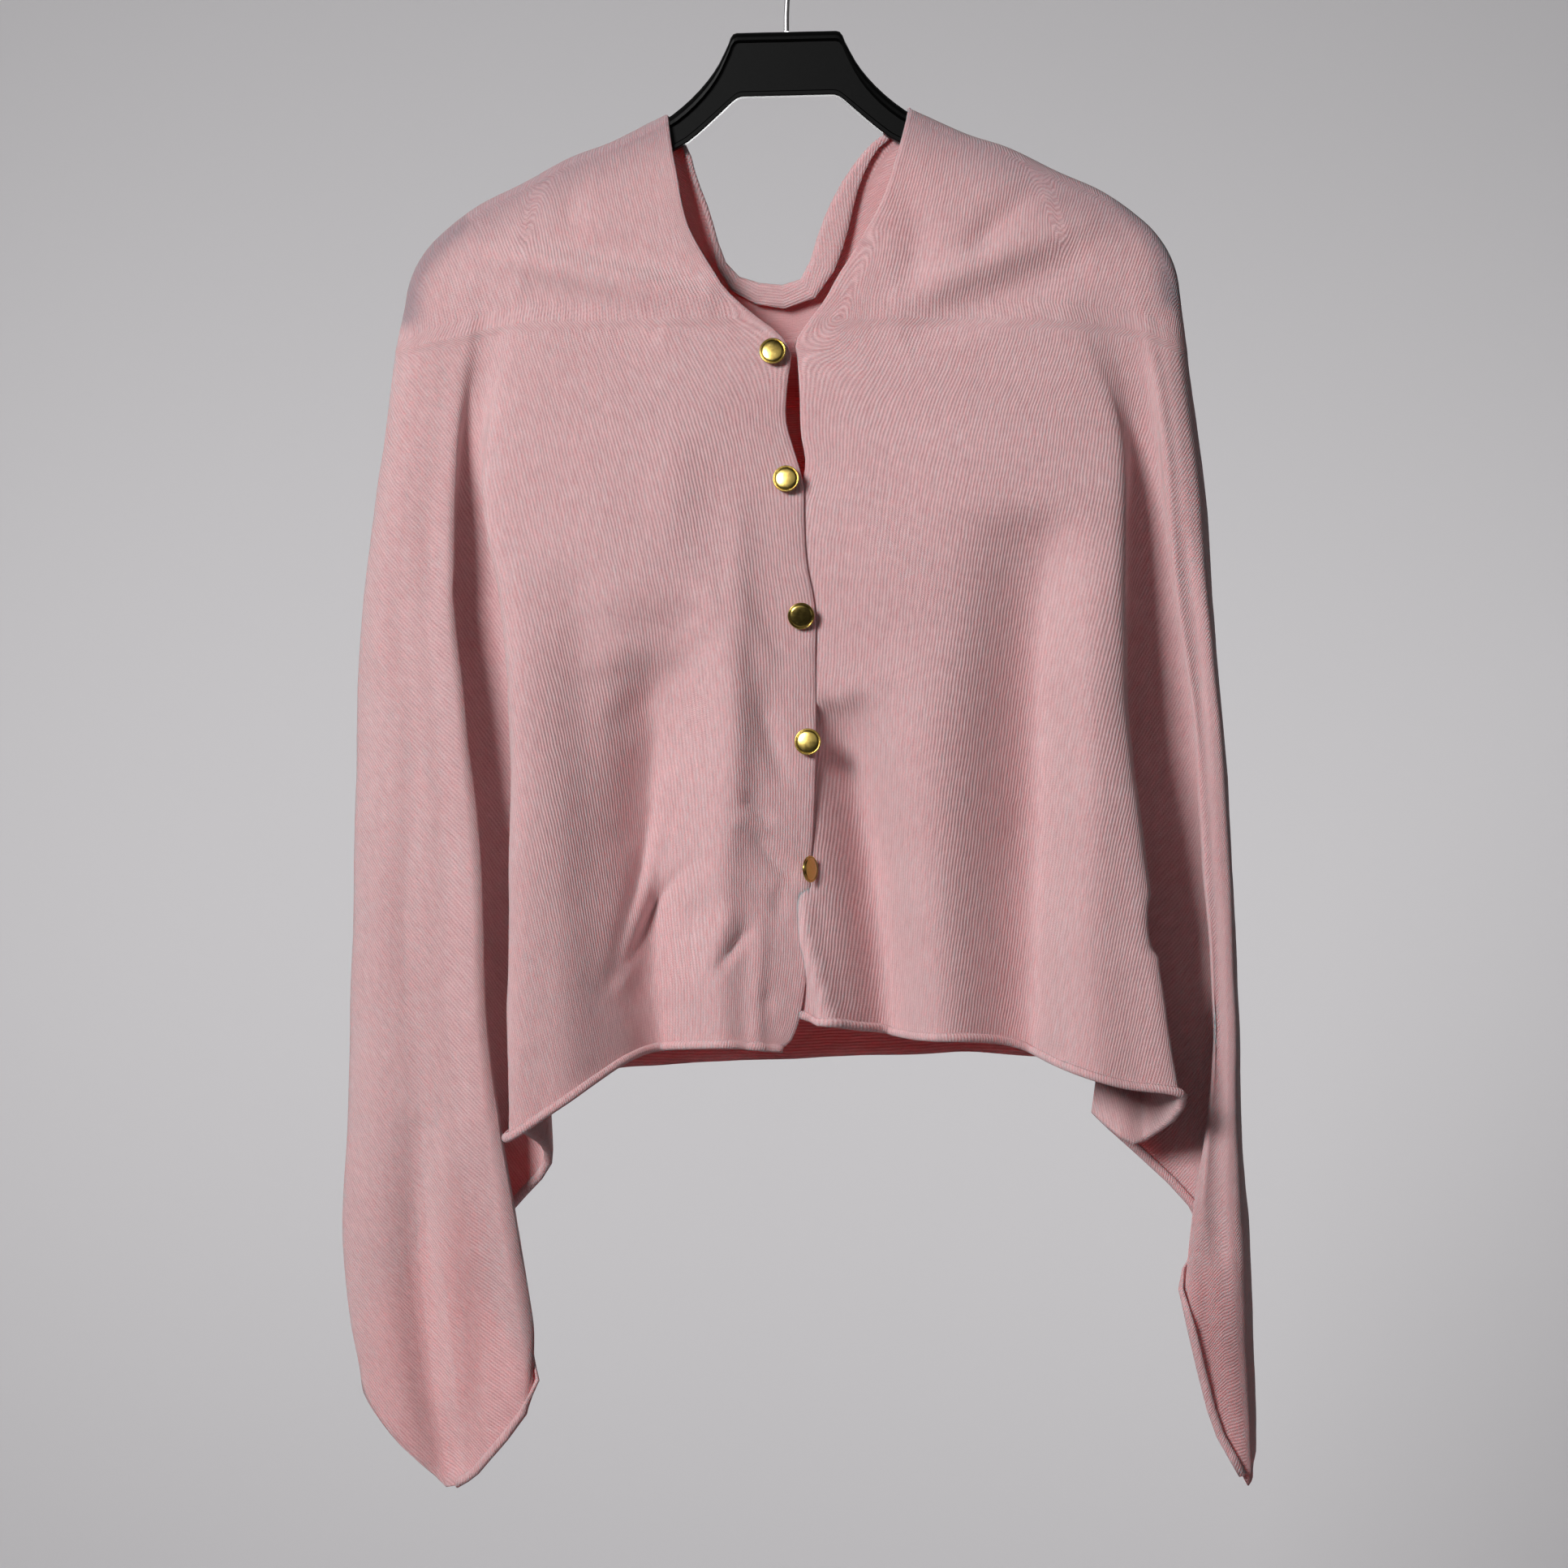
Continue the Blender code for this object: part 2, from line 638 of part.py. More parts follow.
def cut_stretches(lines):
    """Points of the three stretches of cloth, drawn back from the seams between them."""
    left, back, right = (stretch_grid(name, lines) for name in ("front_left", "back", "front_right"))
    cut = {"front_left": left.copy(), "back": back.copy(), "front_right": right.copy()}
    # along the shoulders, up to the arms' tips
    behind_left, behind_right = back[: PLACE_STEPS + 1], back[-PLACE_STEPS - 1 :]
    for name, columns, own, other in (
        ("front_left", slice(0, PLACE_STEPS), left, behind_left[::-1]),
        ("front_right", slice(1, PLACE_STEPS + 1), right, behind_right[::-1]),
        ("back", slice(1, PLACE_STEPS + 1), behind_left, left[::-1]),
        ("back", slice(-PLACE_STEPS - 1, -1), behind_right, right[::-1]),
    ):
        shift = draw_back(own[:, 0], own[:, 1], other[:, 1])
        cut[name][columns, 0] += shift[1:] if columns.start == 1 else shift[:-1]
    # down the sides; the top row moves as the row below it does
    for name, column, own, inside, beyond in (
        ("front_left", -1, left[-1], left[-2], back[1]),
        ("front_right", 0, right[0], right[1], back[-2]),
        ("back", 0, back[0], back[1], left[-2]),
        ("back", -1, back[-1], back[-2], right[1]),
    ):
        shift = draw_back(own, inside, beyond)
        shift[0] = shift[1]
        cut[name][column] += shift
    return cut


def build_cloth(name, lines, material, collection):
    """One stretch of cloth: an open sheet of quads whose wall Solidify gives."""
    grid = cut_stretches(lines)[name]
    whole = stretch_grid(name, lines)
    normals = grid_normals(whole)
    bm = bmesh.new()
    verts = [[bm.verts.new(p * MM) for p in column] for column in grid]
    for a, b in zip(verts[:-1], verts[1:]):
        for i in range(len(a) - 1):
            bm.faces.new((a[i], a[i + 1], b[i + 1], b[i]))
    if name == "back":
        # the turned-in edge of the back neck
        edge = PLACE_STEPS + np.arange(NECK_STEPS + 1)
        inwards = (np.array(NECK_CENTRE) - whole[edge, 0]) * (1, 0, 1)
        away, out = off_the_edge(whole[edge, 0], inwards, np.array([0.0, 1.0, 0.0]))
        turned = slice(LIP_START, -LIP_START)
        picked, away, out = edge[turned], away[turned], out[turned]
        widths = np.array(LIP_WIDTHS, float)
        tail = curve(widths[:, 0], widths[:, 1], neck_places()[turned])
        rows = curl(whole[picked, 0], away, -out, LIP_RADIUS, LIP_TURN, 4)
        heading = away * math.cos(math.radians(LIP_TURN)) - out * math.sin(math.radians(LIP_TURN))
        rows.append(rows[-1] + heading * tail)
        start = 0
    else:
        # the front hem, which rolls outwards from the front corner to the wing's point
        numbers = column_places()[name][0]
        corner = len(LEFT_FRONT_FOLDS) - 3
        if name == "front_left":
            picked = np.flatnonzero(numbers <= corner + 0.01)
        else:
            picked = np.flatnonzero(numbers >= len(lines) - 1 - corner - 0.01)
        away, out = off_the_edge(whole[:, -1], whole[:, -1] - whole[:, -2], normals[:, -1])
        rows = curl(whole[picked, -1], away[picked], out[picked], ROLL_RADIUS, ROLL_TURN, 5)
        start = -1
    strip = [[verts[j][start]] + [bm.verts.new(row[k] * MM) for row in rows] for k, j in enumerate(picked)]
    for a, b in zip(strip[:-1], strip[1:]):
        for i in range(len(a) - 1):
            face = (a[i], a[i + 1], b[i + 1], b[i])
            bm.faces.new(face if start else face[::-1])
    mesh = bpy.data.meshes.new(name)
    bm.to_mesh(mesh)
    bm.free()
    obj = add_object(name, mesh, material, collection)
    wall = obj.modifiers.new("knit wall", "SOLIDIFY")
    wall.thickness = WALL * MM
    wall.offset = 0
    return obj


def add_object(name, mesh, material, collection):
    obj = bpy.data.objects.new(name, mesh)
    obj.data.materials.append(material)
    collection.objects.link(obj)
    obj.data.shade_smooth()
    return obj


def make_material(name, colour, roughness, metallic=0.0):
    material = bpy.data.materials.new(name)
    material.use_nodes = True
    shader = material.node_tree.nodes["Principled BSDF"]
    shader.inputs["Base Color"].default_value = (*colour, 1)
    shader.inputs["Roughness"].default_value = roughness
    shader.inputs["Metallic"].default_value = metallic
    material.diffuse_color = (*colour, 1)
    return material


def arm_section(height):
    """Half the arm's cross-section: distance below its upper edge, and half thickness."""
    turns = np.radians((20, 45, 70, 90))
    round_top = [(ARM_RADIUS * (1 - math.cos(a)), ARM_RADIUS * math.sin(a)) for a in turns]
    web = [(ARM_RADIUS + 1.2, WEB), (height - 3.2, WEB)]
    foot = [(height - 2.4, LOWER_FLANGE), (height - 0.6, LOWER_FLANGE), (height, LOWER_FLANGE - 1)]
    return round_top + web + foot


def build_hanger(material, collection):
    """The hanger as a row of flanged sections, from the tip of one arm to the tip of the other."""
    rows = np.array(ARM_EDGES, float)
    upper, lower = rows[:, :2], rows[:, 2:]
    count = 2 * len(rows)
    at = np.linspace(0, len(rows) - 1, count)
    upper = curve(range(len(rows)), upper, at)
    lower = curve(range(len(rows)), lower, at)
    stations = [(-1, i) for i in range(count - 1, 0, -1)] + [(1, i) for i in range(count)]
    bm = bmesh.new()
    rings = []
    for side, i in stations:
        span = lower[i] - upper[i]
        height = np.linalg.norm(span)
        half = arm_section(height)
        outline = [(d, w) for d, w in half] + [(d, -w) for d, w in half[::-1]]
        ring = []
        for down, out in outline:
            x, z = upper[i] + span / height * down
            x, z = tilt(side * x, z)
            ring.append(bm.verts.new((x * MM, out * MM, z * MM)))
        rings.append(ring)
    for a, b in zip(rings[:-1], rings[1:]):
        for i in range(len(a)):
            j = (i + 1) % len(a)
            bm.faces.new((a[i], a[j], b[j], b[i]))
    for ring in (rings[0], rings[-1]):
        bm.faces.new(ring)
    bmesh.ops.recalc_face_normals(bm, faces=bm.faces)
    mesh = bpy.data.meshes.new("hanger_body")
    bm.to_mesh(mesh)
    bm.free()
    return add_object("hanger_body", mesh, material, collection)


def build_hook(material, collection):
    """The hook: an upright wire that bends round into an open loop over its own foot."""
    radius = HOOK_BEND + HOOK_WIRE / 2
    centre = -HOOK_BEND
    points = [(0.0, HANGER_TOP + 0.3), (0.0, -66.0), (0.4, -57.0), (3.0, -50.5), (7.6, -45.8)]
    for degrees in range(-48, 196, 12):
        angle = math.radians(degrees)
        points.append((radius * math.cos(angle), centre + radius * math.sin(angle)))
    points.append((-radius - 1.6, centre - 9.5))
    path = bpy.data.curves.new("hanger_hook", "CURVE")
    path.dimensions = "3D"
    path.bevel_depth = HOOK_WIRE / 2 * MM
    path.bevel_resolution = 2
    path.use_fill_caps = True
    spline = path.splines.new("POLY")
    spline.points.add(len(points) - 1)
    for point, (x, z) in zip(spline.points, points):
        point.co = (x * MM, 0, z * MM, 1)
    obj = bpy.data.objects.new("hanger_hook", path)
    obj.data.materials.append(material)
    collection.objects.link(obj)
    return obj


def panel_point(grid, x, z):
    """Point and outward direction of a stretch where it is seen at x and z."""
    gaps = (grid[:, :, 0] - x) ** 2 + (grid[:, :, 2] - z) ** 2
    column, row = np.unravel_index(np.argmin(gaps), gaps.shape)
    near = grid[max(column - 1, 0) : column + 2, row - 1 : row + 2].reshape(-1, 3)
    plane = np.column_stack([near[:, 0], near[:, 2], np.ones(len(near))])
    by_x, by_z, start = np.linalg.lstsq(plane, near[:, 1], rcond=None)[0]
    return Vector((x, by_x * x + by_z * z + start, z)), Vector((by_x, -1, by_z)).normalized()


def build_button(number, x, z, right, up, surface, material, collection):
    """A domed metal button: a dished disc with a rim, turned about its shank."""
    half = BUTTON / 2
    # radius and distance from the cloth, from the middle of the face out and back to the shank
    profile = (
        (0, 5.0),
        (half * 0.45, 5.0),
        (half * 0.80, 4.75),
        (half * 0.88, 4.9),
        (half * 0.96, 4.7),
        (half, 4.1),
        (half * 0.93, 3.5),
        (half * 0.6, 2.9),
        (SHANK, 2.6),
        (SHANK, 0),
        (0, 0),
    )
    bm = bmesh.new()
    verts = [bm.verts.new((r * MM, 0, d * MM)) for r, d in profile]
    for a, b in zip(verts[:-1], verts[1:]):
        bm.edges.new((a, b))
    mesh = bpy.data.meshes.new(f"button_{number}")
    bm.to_mesh(mesh)
    bm.free()
    obj = add_object(f"button_{number}", mesh, material, collection)
    screw = obj.modifiers.new("turned", "SCREW")
    screw.steps = screw.render_steps = 20
    screw.use_merge_vertices = True
    screw.merge_threshold = 0.00005
    screw.use_normal_calculate = False
    screw.use_smooth_shade = True
    lean = Matrix.Rotation(math.radians(right), 4, "Z") @ Matrix.Rotation(-math.radians(up), 4, "X")
    facing = lean @ Matrix.Rotation(math.radians(90), 4, "X")
    axis = (facing.to_3x3() @ Vector((0, 0, 1))).normalized()
    point, out = panel_point(surface, x - axis.x * 4, z - axis.z * 4)
    lean_from_cloth = axis.angle(out)
    reach = (WALL / 2 + BUTTON_GAP + SHANK * math.sin(lean_from_cloth)) / math.cos(lean_from_cloth)
    base = point + axis * reach
    obj.matrix_world = Matrix.Translation(base * MM) @ facing
    return obj


def main():
    for obj in list(bpy.data.objects):
        bpy.data.objects.remove(obj, do_unlink=True)
    collection = bpy.data.collections.new("poncho_on_hanger")
    bpy.context.scene.collection.children.link(collection)
    knit = make_material("pale pink knit", (0.62, 0.33, 0.34), 0.9)
    plastic = make_material("black plastic", (0.012, 0.012, 0.013), 0.35)
    steel = make_material("hook steel", (0.35, 0.34, 0.34), 0.3, 1.0)
    brass = make_material("button brass", (0.60, 0.42, 0.14), 0.3, 1.0)
    lines = garment_folds()
    for name in ("front_left", "back", "front_right"):
        build_cloth(name, lines, knit, collection)
    build_hanger(plastic, collection)
    build_hook(steel, collection)
    surface = stretch_grid("front_left", lines)
    for number, row in enumerate(BUTTONS, 1):
        build_button(number, *row, surface, brass, collection)


main()
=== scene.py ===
# %% [markdown]
# # A knitted poncho on a hanger
# One fine-knit rectangle lies over a shaped plastic hanger and is buttoned down the front. This
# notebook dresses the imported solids: it makes the cloth again as one thin sheet with its creases,
# turns finer buttons and gives every piece its material. The garment's sizes are in millimetres
# from the inside of the hook's bend, and become metres only when a mesh is made. The camera, the
# backdrop and the lamps are placed in metres.

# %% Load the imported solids
import math

import bmesh
import bpy
import numpy as np
from mathutils import Matrix, Vector, noise


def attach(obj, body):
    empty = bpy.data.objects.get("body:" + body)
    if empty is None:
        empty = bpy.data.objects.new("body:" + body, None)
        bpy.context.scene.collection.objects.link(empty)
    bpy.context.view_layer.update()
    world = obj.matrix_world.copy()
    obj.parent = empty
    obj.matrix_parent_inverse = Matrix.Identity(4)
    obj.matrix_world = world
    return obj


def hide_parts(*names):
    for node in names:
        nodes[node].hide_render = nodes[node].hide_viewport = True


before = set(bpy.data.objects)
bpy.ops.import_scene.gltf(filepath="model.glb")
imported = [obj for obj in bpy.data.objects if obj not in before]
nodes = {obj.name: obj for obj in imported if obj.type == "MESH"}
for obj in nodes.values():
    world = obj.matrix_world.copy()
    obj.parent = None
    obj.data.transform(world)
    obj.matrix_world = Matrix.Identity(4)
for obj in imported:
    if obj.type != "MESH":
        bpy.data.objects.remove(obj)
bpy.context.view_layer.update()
MM = 0.001


def add_object(name, data):
    """A new object in the scene."""
    made = bpy.data.objects.new(name, data)
    bpy.context.scene.collection.objects.link(made)
    return made


def mesh_from(built, name, material):
    """The mesh of what bmesh has built, in one material."""
    mesh = bpy.data.meshes.new(name)
    built.to_mesh(mesh)
    built.free()
    mesh.materials.append(material)
    return mesh


# %% [markdown]
# ## Camera
# The camera stands square to the garment, a little over two metres away, and looks along +Y. Its
# angle is set so that 4.774 pixels cover one millimetre at one metre. Everything is in focus.

# %% Camera
CAMERA_DISTANCE = 2.2
CAMERA_PLACE = (-0.0014, -CAMERA_DISTANCE, -0.502)
HALF_PICTURE = 0.4452  # half of what the picture spans at the garment, in metres

camera_data = bpy.data.cameras.new("camera")
camera_data.sensor_width = 36
camera_data.angle = 2 * math.atan(HALF_PICTURE / CAMERA_DISTANCE)
camera = add_object("camera", camera_data)
camera.location = CAMERA_PLACE
camera.rotation_euler = (math.radians(90), 0, 0)
bpy.context.scene.camera = camera
bpy.context.scene.view_settings.view_transform = "Standard"  # as a plain photograph shows its tones

# %% [markdown]
# ## Studio
# A pale sweep stands for floor and wall. A broad lamp from the front left casts the soft shadows of
# the folds, one above the camera shows in the buttons, and one on the right lights the right wing.
# One stands behind, so that light soaks through the thin knit and its folds glow red, and two
# brighten the wall, which stands far enough back for a camera to go round the garment. A faint pale
# world fills in.

# %% Floor and backdrop
FLOOR_HEIGHT = -3.2
SWEEP_DEPTH = 2.6  # behind any camera that goes round the garment
SWEEP_RADIUS = 0.7
SWEEP_FRONT = -3.0
SWEEP_TOP = 3.0
SWEEP_HALF_WIDTH = 4


def hex_colour(text):
    """Linear colour of an sRGB hex value."""
    values = [int(text[i : i + 2], 16) / 255 for i in (1, 3, 5)]
    return (*[v / 12.92 if v <= 0.04045 else ((v + 0.055) / 1.055) ** 2.4 for v in values], 1)


def node(tree, kind, inputs=(), **settings):
    """Add a shader node; inputs are (socket, value, output or node, which means its first output)."""
    made = tree.nodes.new(kind)
    for name, value in settings.items():
        setattr(made, name, value)
    for socket, value in inputs:
        if isinstance(value, bpy.types.Node):
            value = value.outputs[0]
        if isinstance(value, bpy.types.NodeSocket):
            tree.links.new(value, made.inputs[socket])
        else:
            made.inputs[socket].default_value = value
    return made


def new_material(name, **sockets):
    """A material whose Principled shader has these sockets set."""
    material = bpy.data.materials.new(name)
    material.use_nodes = True
    shader = material.node_tree.nodes["Principled BSDF"]
    for socket, value in sockets.items():
        shader.inputs[socket.replace("_", " ")].default_value = value
    return material, material.node_tree, shader


backdrop_paper, tree, shader = new_material(
    "matt_paper_backdrop", Base_Color=hex_colour("#d9d7d9"), Roughness=0.95
)
sweep = bmesh.new()
profile = [(SWEEP_FRONT, FLOOR_HEIGHT), (SWEEP_DEPTH - SWEEP_RADIUS, FLOOR_HEIGHT)]
for degrees in range(10, 91, 10):
    angle = math.radians(degrees)
    y = SWEEP_DEPTH - SWEEP_RADIUS + SWEEP_RADIUS * math.sin(angle)
    profile.append((y, FLOOR_HEIGHT + SWEEP_RADIUS * (1 - math.cos(angle))))
profile.append((SWEEP_DEPTH, SWEEP_TOP))
left_side = [sweep.verts.new((-SWEEP_HALF_WIDTH, y, z)) for y, z in profile]
right_side = [sweep.verts.new((SWEEP_HALF_WIDTH, y, z)) for y, z in profile]
for i in range(len(profile) - 1):
    face = sweep.faces.new((left_side[i], right_side[i], right_side[i + 1], left_side[i + 1]))
    face.smooth = True
backdrop = add_object("backdrop", mesh_from(sweep, "backdrop", backdrop_paper))

# %% Lamps
GARMENT_MIDDLE = -0.5  # the height at which every lamp aims
LAMPS = (
    # name, place, size, spread in degrees, watts
    ("key_lamp", (-1.3, -2.2, 0.4), 0.7, 180, 72),
    ("front_lamp", (-0.1, -2.7, 0.6), 1.2, 180, 2.4),
    ("side_lamp", (2.4, -1.6, 0.0), 1.2, 180, 2.5),
    ("back_lamp", (0.1, 1.5, -0.3), 0.8, 60, 3),
    ("left_backdrop_lamp", (-1.04, 0.85, -0.6), 1.05, 180, 11.5),
    ("right_backdrop_lamp", (1.04, 0.85, -0.8), 1.05, 180, 13.5),
)
for name, place, size, spread, watts in LAMPS:
    lamp = add_object(name, bpy.data.lights.new(name, "AREA"))
    lamp.data.size = size
    lamp.data.spread = math.radians(spread)
    lamp.data.energy = watts
    lamp.location = place
    aim = Vector((0, SWEEP_DEPTH if "backdrop" in name else 0, GARMENT_MIDDLE)) - lamp.location
    lamp.rotation_euler = aim.to_track_quat("-Z", "Y").to_euler()
    lamp.visible_camera = False

world = bpy.data.worlds.new("soft_room")
world.use_nodes = True
background = world.node_tree.nodes["Background"].inputs
background["Color"].default_value = hex_colour("#e6e6ea")
background["Strength"].default_value = 0.03
bpy.context.scene.world = world

# %% [markdown]
# ## The knit
# Brushed fine jersey of goat hair and wool. Its face shows upright rows of V-shaped stitches, the
# wales, about 1.6 mm apart, half hidden by a soft nap that catches light at the edges. The pattern
# is drawn on the cloth's own UV map, in metres of cloth, so that the wales turn with the cloth as
# it falls from the shoulder. An attribute on the sheet marks where the hanger's tips stretch the
# knit so far that grey shows through. Along the arms the same grey is also painted shade, which
# darkens the tops of the shoulders.

# %% Knit material: the shader
WALE = 1.6  # millimetres from one wale to the next
COURSE = 1.25  # millimetres from one stitch to the next along a wale
NAP_GRAIN = 0.9  # clumps of fibre; single ones are finer and would not show
DRIFT = 14.0  # over this length the wales waver a little
KNIT_LIGHT = "#ecc9cb"
KNIT_DEEP = "#bd8d8f"
# grey of the black hanger showing through the knit, also used as painted shade on the shoulder tops
KNIT_SEE_THROUGH_AND_SHADE = "#8d7f86"

# Light wanders a little way inside wool, red farthest, and its nap scatters a pale sheen: this
# gives the eye dusty pink where the lamps reach and a warm red in the folds.
knit, tree, shader = new_material(
    "brushed_jersey_knit",
    Roughness=0.92,
    Specular_IOR_Level=0.12,
    Subsurface_Weight=0.75,
    Subsurface_Radius=(1.0, 0.22, 0.2),
    Subsurface_Scale=2.6 * MM,
    Sheen_Weight=0.2,
    Sheen_Roughness=0.55,
    Sheen_Tint=hex_colour("#fff1f0"),
)
MATH = "ShaderNodeMath"
NOISE = "ShaderNodeTexNoise"
MIX = "ShaderNodeMix"
VECTOR_MATH = "ShaderNodeVectorMath"

# %% Knit material: the stitches
cloth_place = node(tree, "ShaderNodeUVMap", uv_map="cloth")
drift = node(tree, NOISE, inputs=[("Vector", cloth_place), ("Scale", 1 / (DRIFT * MM))])
middle = (1, (0.5,) * 3)
shift = node(tree, VECTOR_MATH, inputs=[(0, drift.outputs["Color"]), middle], operation="SUBTRACT")
sway = (1, (WALE * MM * 0.9,) * 3)
bent = node(tree, VECTOR_MATH, inputs=[(0, shift), sway, (2, cloth_place)], operation="MULTIPLY_ADD")
parts = node(tree, "ShaderNodeSeparateXYZ", inputs=[(0, bent)])
# across a wale: 0 on the rib, a half in the groove between two wales
wales = node(tree, MATH, inputs=[(0, parts.outputs["Y"]), (1, 1 / (WALE * MM))], operation="MULTIPLY")
in_wale = node(tree, MATH, inputs=[(0, wales)], operation="FRACT")
from_rib = node(tree, MATH, inputs=[(0, in_wale), (1, 0.5)], operation="SUBTRACT")
off_rib = node(tree, MATH, inputs=[(0, from_rib)], operation="ABSOLUTE")
turn = node(tree, MATH, inputs=[(0, off_rib), (1, math.tau)], operation="MULTIPLY")
rib = node(tree, MATH, inputs=[(0, turn)], operation="COSINE")
# along a wale: the two legs of each stitch slant to a V
along = node(tree, MATH, inputs=[(0, parts.outputs["X"]), (1, 1 / (COURSE * MM))], operation="MULTIPLY")
slant = node(tree, MATH, inputs=[(0, off_rib), (1, 1.5), (2, along)], operation="MULTIPLY_ADD")
wave = node(tree, MATH, inputs=[(0, slant), (1, math.tau)], operation="MULTIPLY")
leg = node(tree, MATH, inputs=[(0, wave)], operation="SINE")
stitch = node(tree, MATH, inputs=[(0, leg), (1, 0.45), (2, rib)], operation="MULTIPLY_ADD")

# %% Knit material: nap, colour and relief
nap = node(
    tree,
    NOISE,
    inputs=[("Vector", cloth_place), ("Scale", 1 / (NAP_GRAIN * MM)), ("Detail", 4.0), ("Roughness", 0.7)],
)
stretched = node(tree, "ShaderNodeMapping", inputs=[("Vector", cloth_place), ("Scale", (120, 520, 1))])
fibres = node(tree, NOISE, inputs=[("Vector", stretched), ("Scale", 1.0), ("Detail", 5.0)])
patches = node(tree, NOISE, inputs=[("Vector", cloth_place), ("Scale", 1000 / 60), ("Detail", 3.0)])
TONE_SHARES = ((patches, 0.3), (nap, 0.95), (fibres, 0.65))
middle_tone = 0.5 - 0.5 * sum(share for pattern, share in TONE_SHARES)
tone = node(tree, MATH, inputs=[(0, stitch), (1, 0.16), (2, middle_tone)], operation="MULTIPLY_ADD")
for pattern, share in TONE_SHARES:
    tone = node(tree, MATH, inputs=[(0, pattern), (1, share), (2, tone)], operation="MULTIPLY_ADD")
yarn = node(
    tree,
    MIX,
    inputs=[("Factor", tone), (6, hex_colour(KNIT_DEEP)), (7, hex_colour(KNIT_LIGHT))],
    data_type="RGBA",
)
# the hanger showing through at its tips, and painted shade on the shoulder tops along the arms
see_through_and_shade = node(tree, "ShaderNodeAttribute", attribute_name="see_through_and_shade")
colour = node(
    tree,
    MIX,
    inputs=[("Factor", see_through_and_shade.outputs["Fac"]), (6, yarn.outputs[2]), (7, hex_colour(KNIT_SEE_THROUGH_AND_SHADE))],
    data_type="RGBA",
)
tree.links.new(colour.outputs[2], shader.inputs["Base Color"])
low_stitch = node(tree, MATH, inputs=[(0, stitch), (1, 0.5)], operation="MULTIPLY")
relief = node(tree, MATH, inputs=[(0, nap), (1, 1.4), (2, low_stitch)], operation="MULTIPLY_ADD")
lifts = [("Strength", 0.7), ("Distance", 0.4 * MM), ("Height", relief)]
bump = node(tree, "ShaderNodeBump", inputs=lifts)
tree.links.new(bump.outputs["Normal"], shader.inputs["Normal"])
print("knit material:", len(tree.nodes), "nodes")

# %% [markdown]
# ## The hard materials
# Polished brass gives the buttons their warm mirror, a little dulled where fingers have been. The
# hanger is satin black moulded polystyrene with a fine grain, and its hook is plain steel wire
# with marks along the way it was drawn. Their patterns lie in the part's own millimetres.

# %% Hard materials
SURFACES = {}
for name, dark, light, metallic, smooth, rough, grain, relief_height in (
    # material, two colours, metal or not, roughness from, to, scale of the grain per metre, relief
    ("polished_brass", "#a38a48", "#c4ab62", 1.0, 0.16, 0.32, (420, 420, 420), 0.004),
    ("satin_black_polystyrene", "#050505", "#090909", 0.0, 0.34, 0.5, (900, 900, 900), 0.02),
    ("drawn_steel_wire", "#77757a", "#a3a1a0", 1.0, 0.2, 0.38, (2600, 2600, 90), 0.01),
):
    specular = 0.5 if metallic else 0.12
    material, tree, shader = new_material(name, Metallic=metallic, Specular_IOR_Level=specular)
    place = node(tree, "ShaderNodeTexCoord").outputs["Object"]
    scaled = node(tree, "ShaderNodeMapping", inputs=[("Vector", place), ("Scale", grain)])
    marks = node(tree, NOISE, inputs=[("Vector", scaled), ("Scale", 1.0), ("Detail", 4.0)])
    tint = node(
        tree,
        MIX,
        inputs=[("Factor", marks), (6, hex_colour(dark)), (7, hex_colour(light))],
        data_type="RGBA",
    )
    gloss = node(tree, "ShaderNodeMapRange", inputs=[("Value", marks), (3, smooth), (4, rough)])
    lifts = [("Strength", 0.4), ("Distance", relief_height * MM), ("Height", marks)]
    bump = node(tree, "ShaderNodeBump", inputs=lifts)
    tree.links.new(tint.outputs[2], shader.inputs["Base Color"])
    tree.links.new(gloss.outputs[0], shader.inputs["Roughness"])
    tree.links.new(bump.outputs["Normal"], shader.inputs["Normal"])
    SURFACES[name] = material
brass, plastic, steel = SURFACES.values()
print("hard materials:", ", ".join(SURFACES))

# %% [markdown]
# ## The cloth's shape
# The sheet is lofted through named folds, as the solids are: each fold runs from the shoulder or the
# back neck down to the hem, and short tables say where it lies at a few heights. The folds are read
# with smooth curves, far more finely than in the solids, so that creases fit between them.

# %% Sizes of the cloth
WALL = 1.3  # thickness of the knit
YOKE = -246.0  # height of the top button, where the folds begin
WRAP = 6.7  # radius of the cloth's middle over the arm
ROLL_RADIUS = 2.0  # rolled hem
ROLL_TURN = 250.0
LIP_TURN = 180.0  # turned-in edge of the back neck
RIM_RADIUS = 0.9  # small curl of the front edges
RIM_TURN = 200.0
HANGER_TOP = -75.0
HANGER_TILT = 1.3  # degrees, the right arm higher
FLAT_CUT = (0.62, 1.45)  # the knitted rectangle before it was folded, in metres

ARM_RADIUS = 5.0  # half thickness of the arm's upper flange
NECK_CROWDING = 1.6  # how much closer the columns lie towards the ends of the back neck

# %% Tables: the hanger's arm
# Upper edge of the right arm before the hanger's tilt, from the neck point to the tip
ARM_TOP = (
    # x, z
    (69, -122.6), (85, -130.3), (100, -137.3), (122, -145), (150, -159.3), (178, -172.8),
    (194, -184.6), (204, -194), (211.5, -205), (216.3, -218.4), (217.6, -230),
)

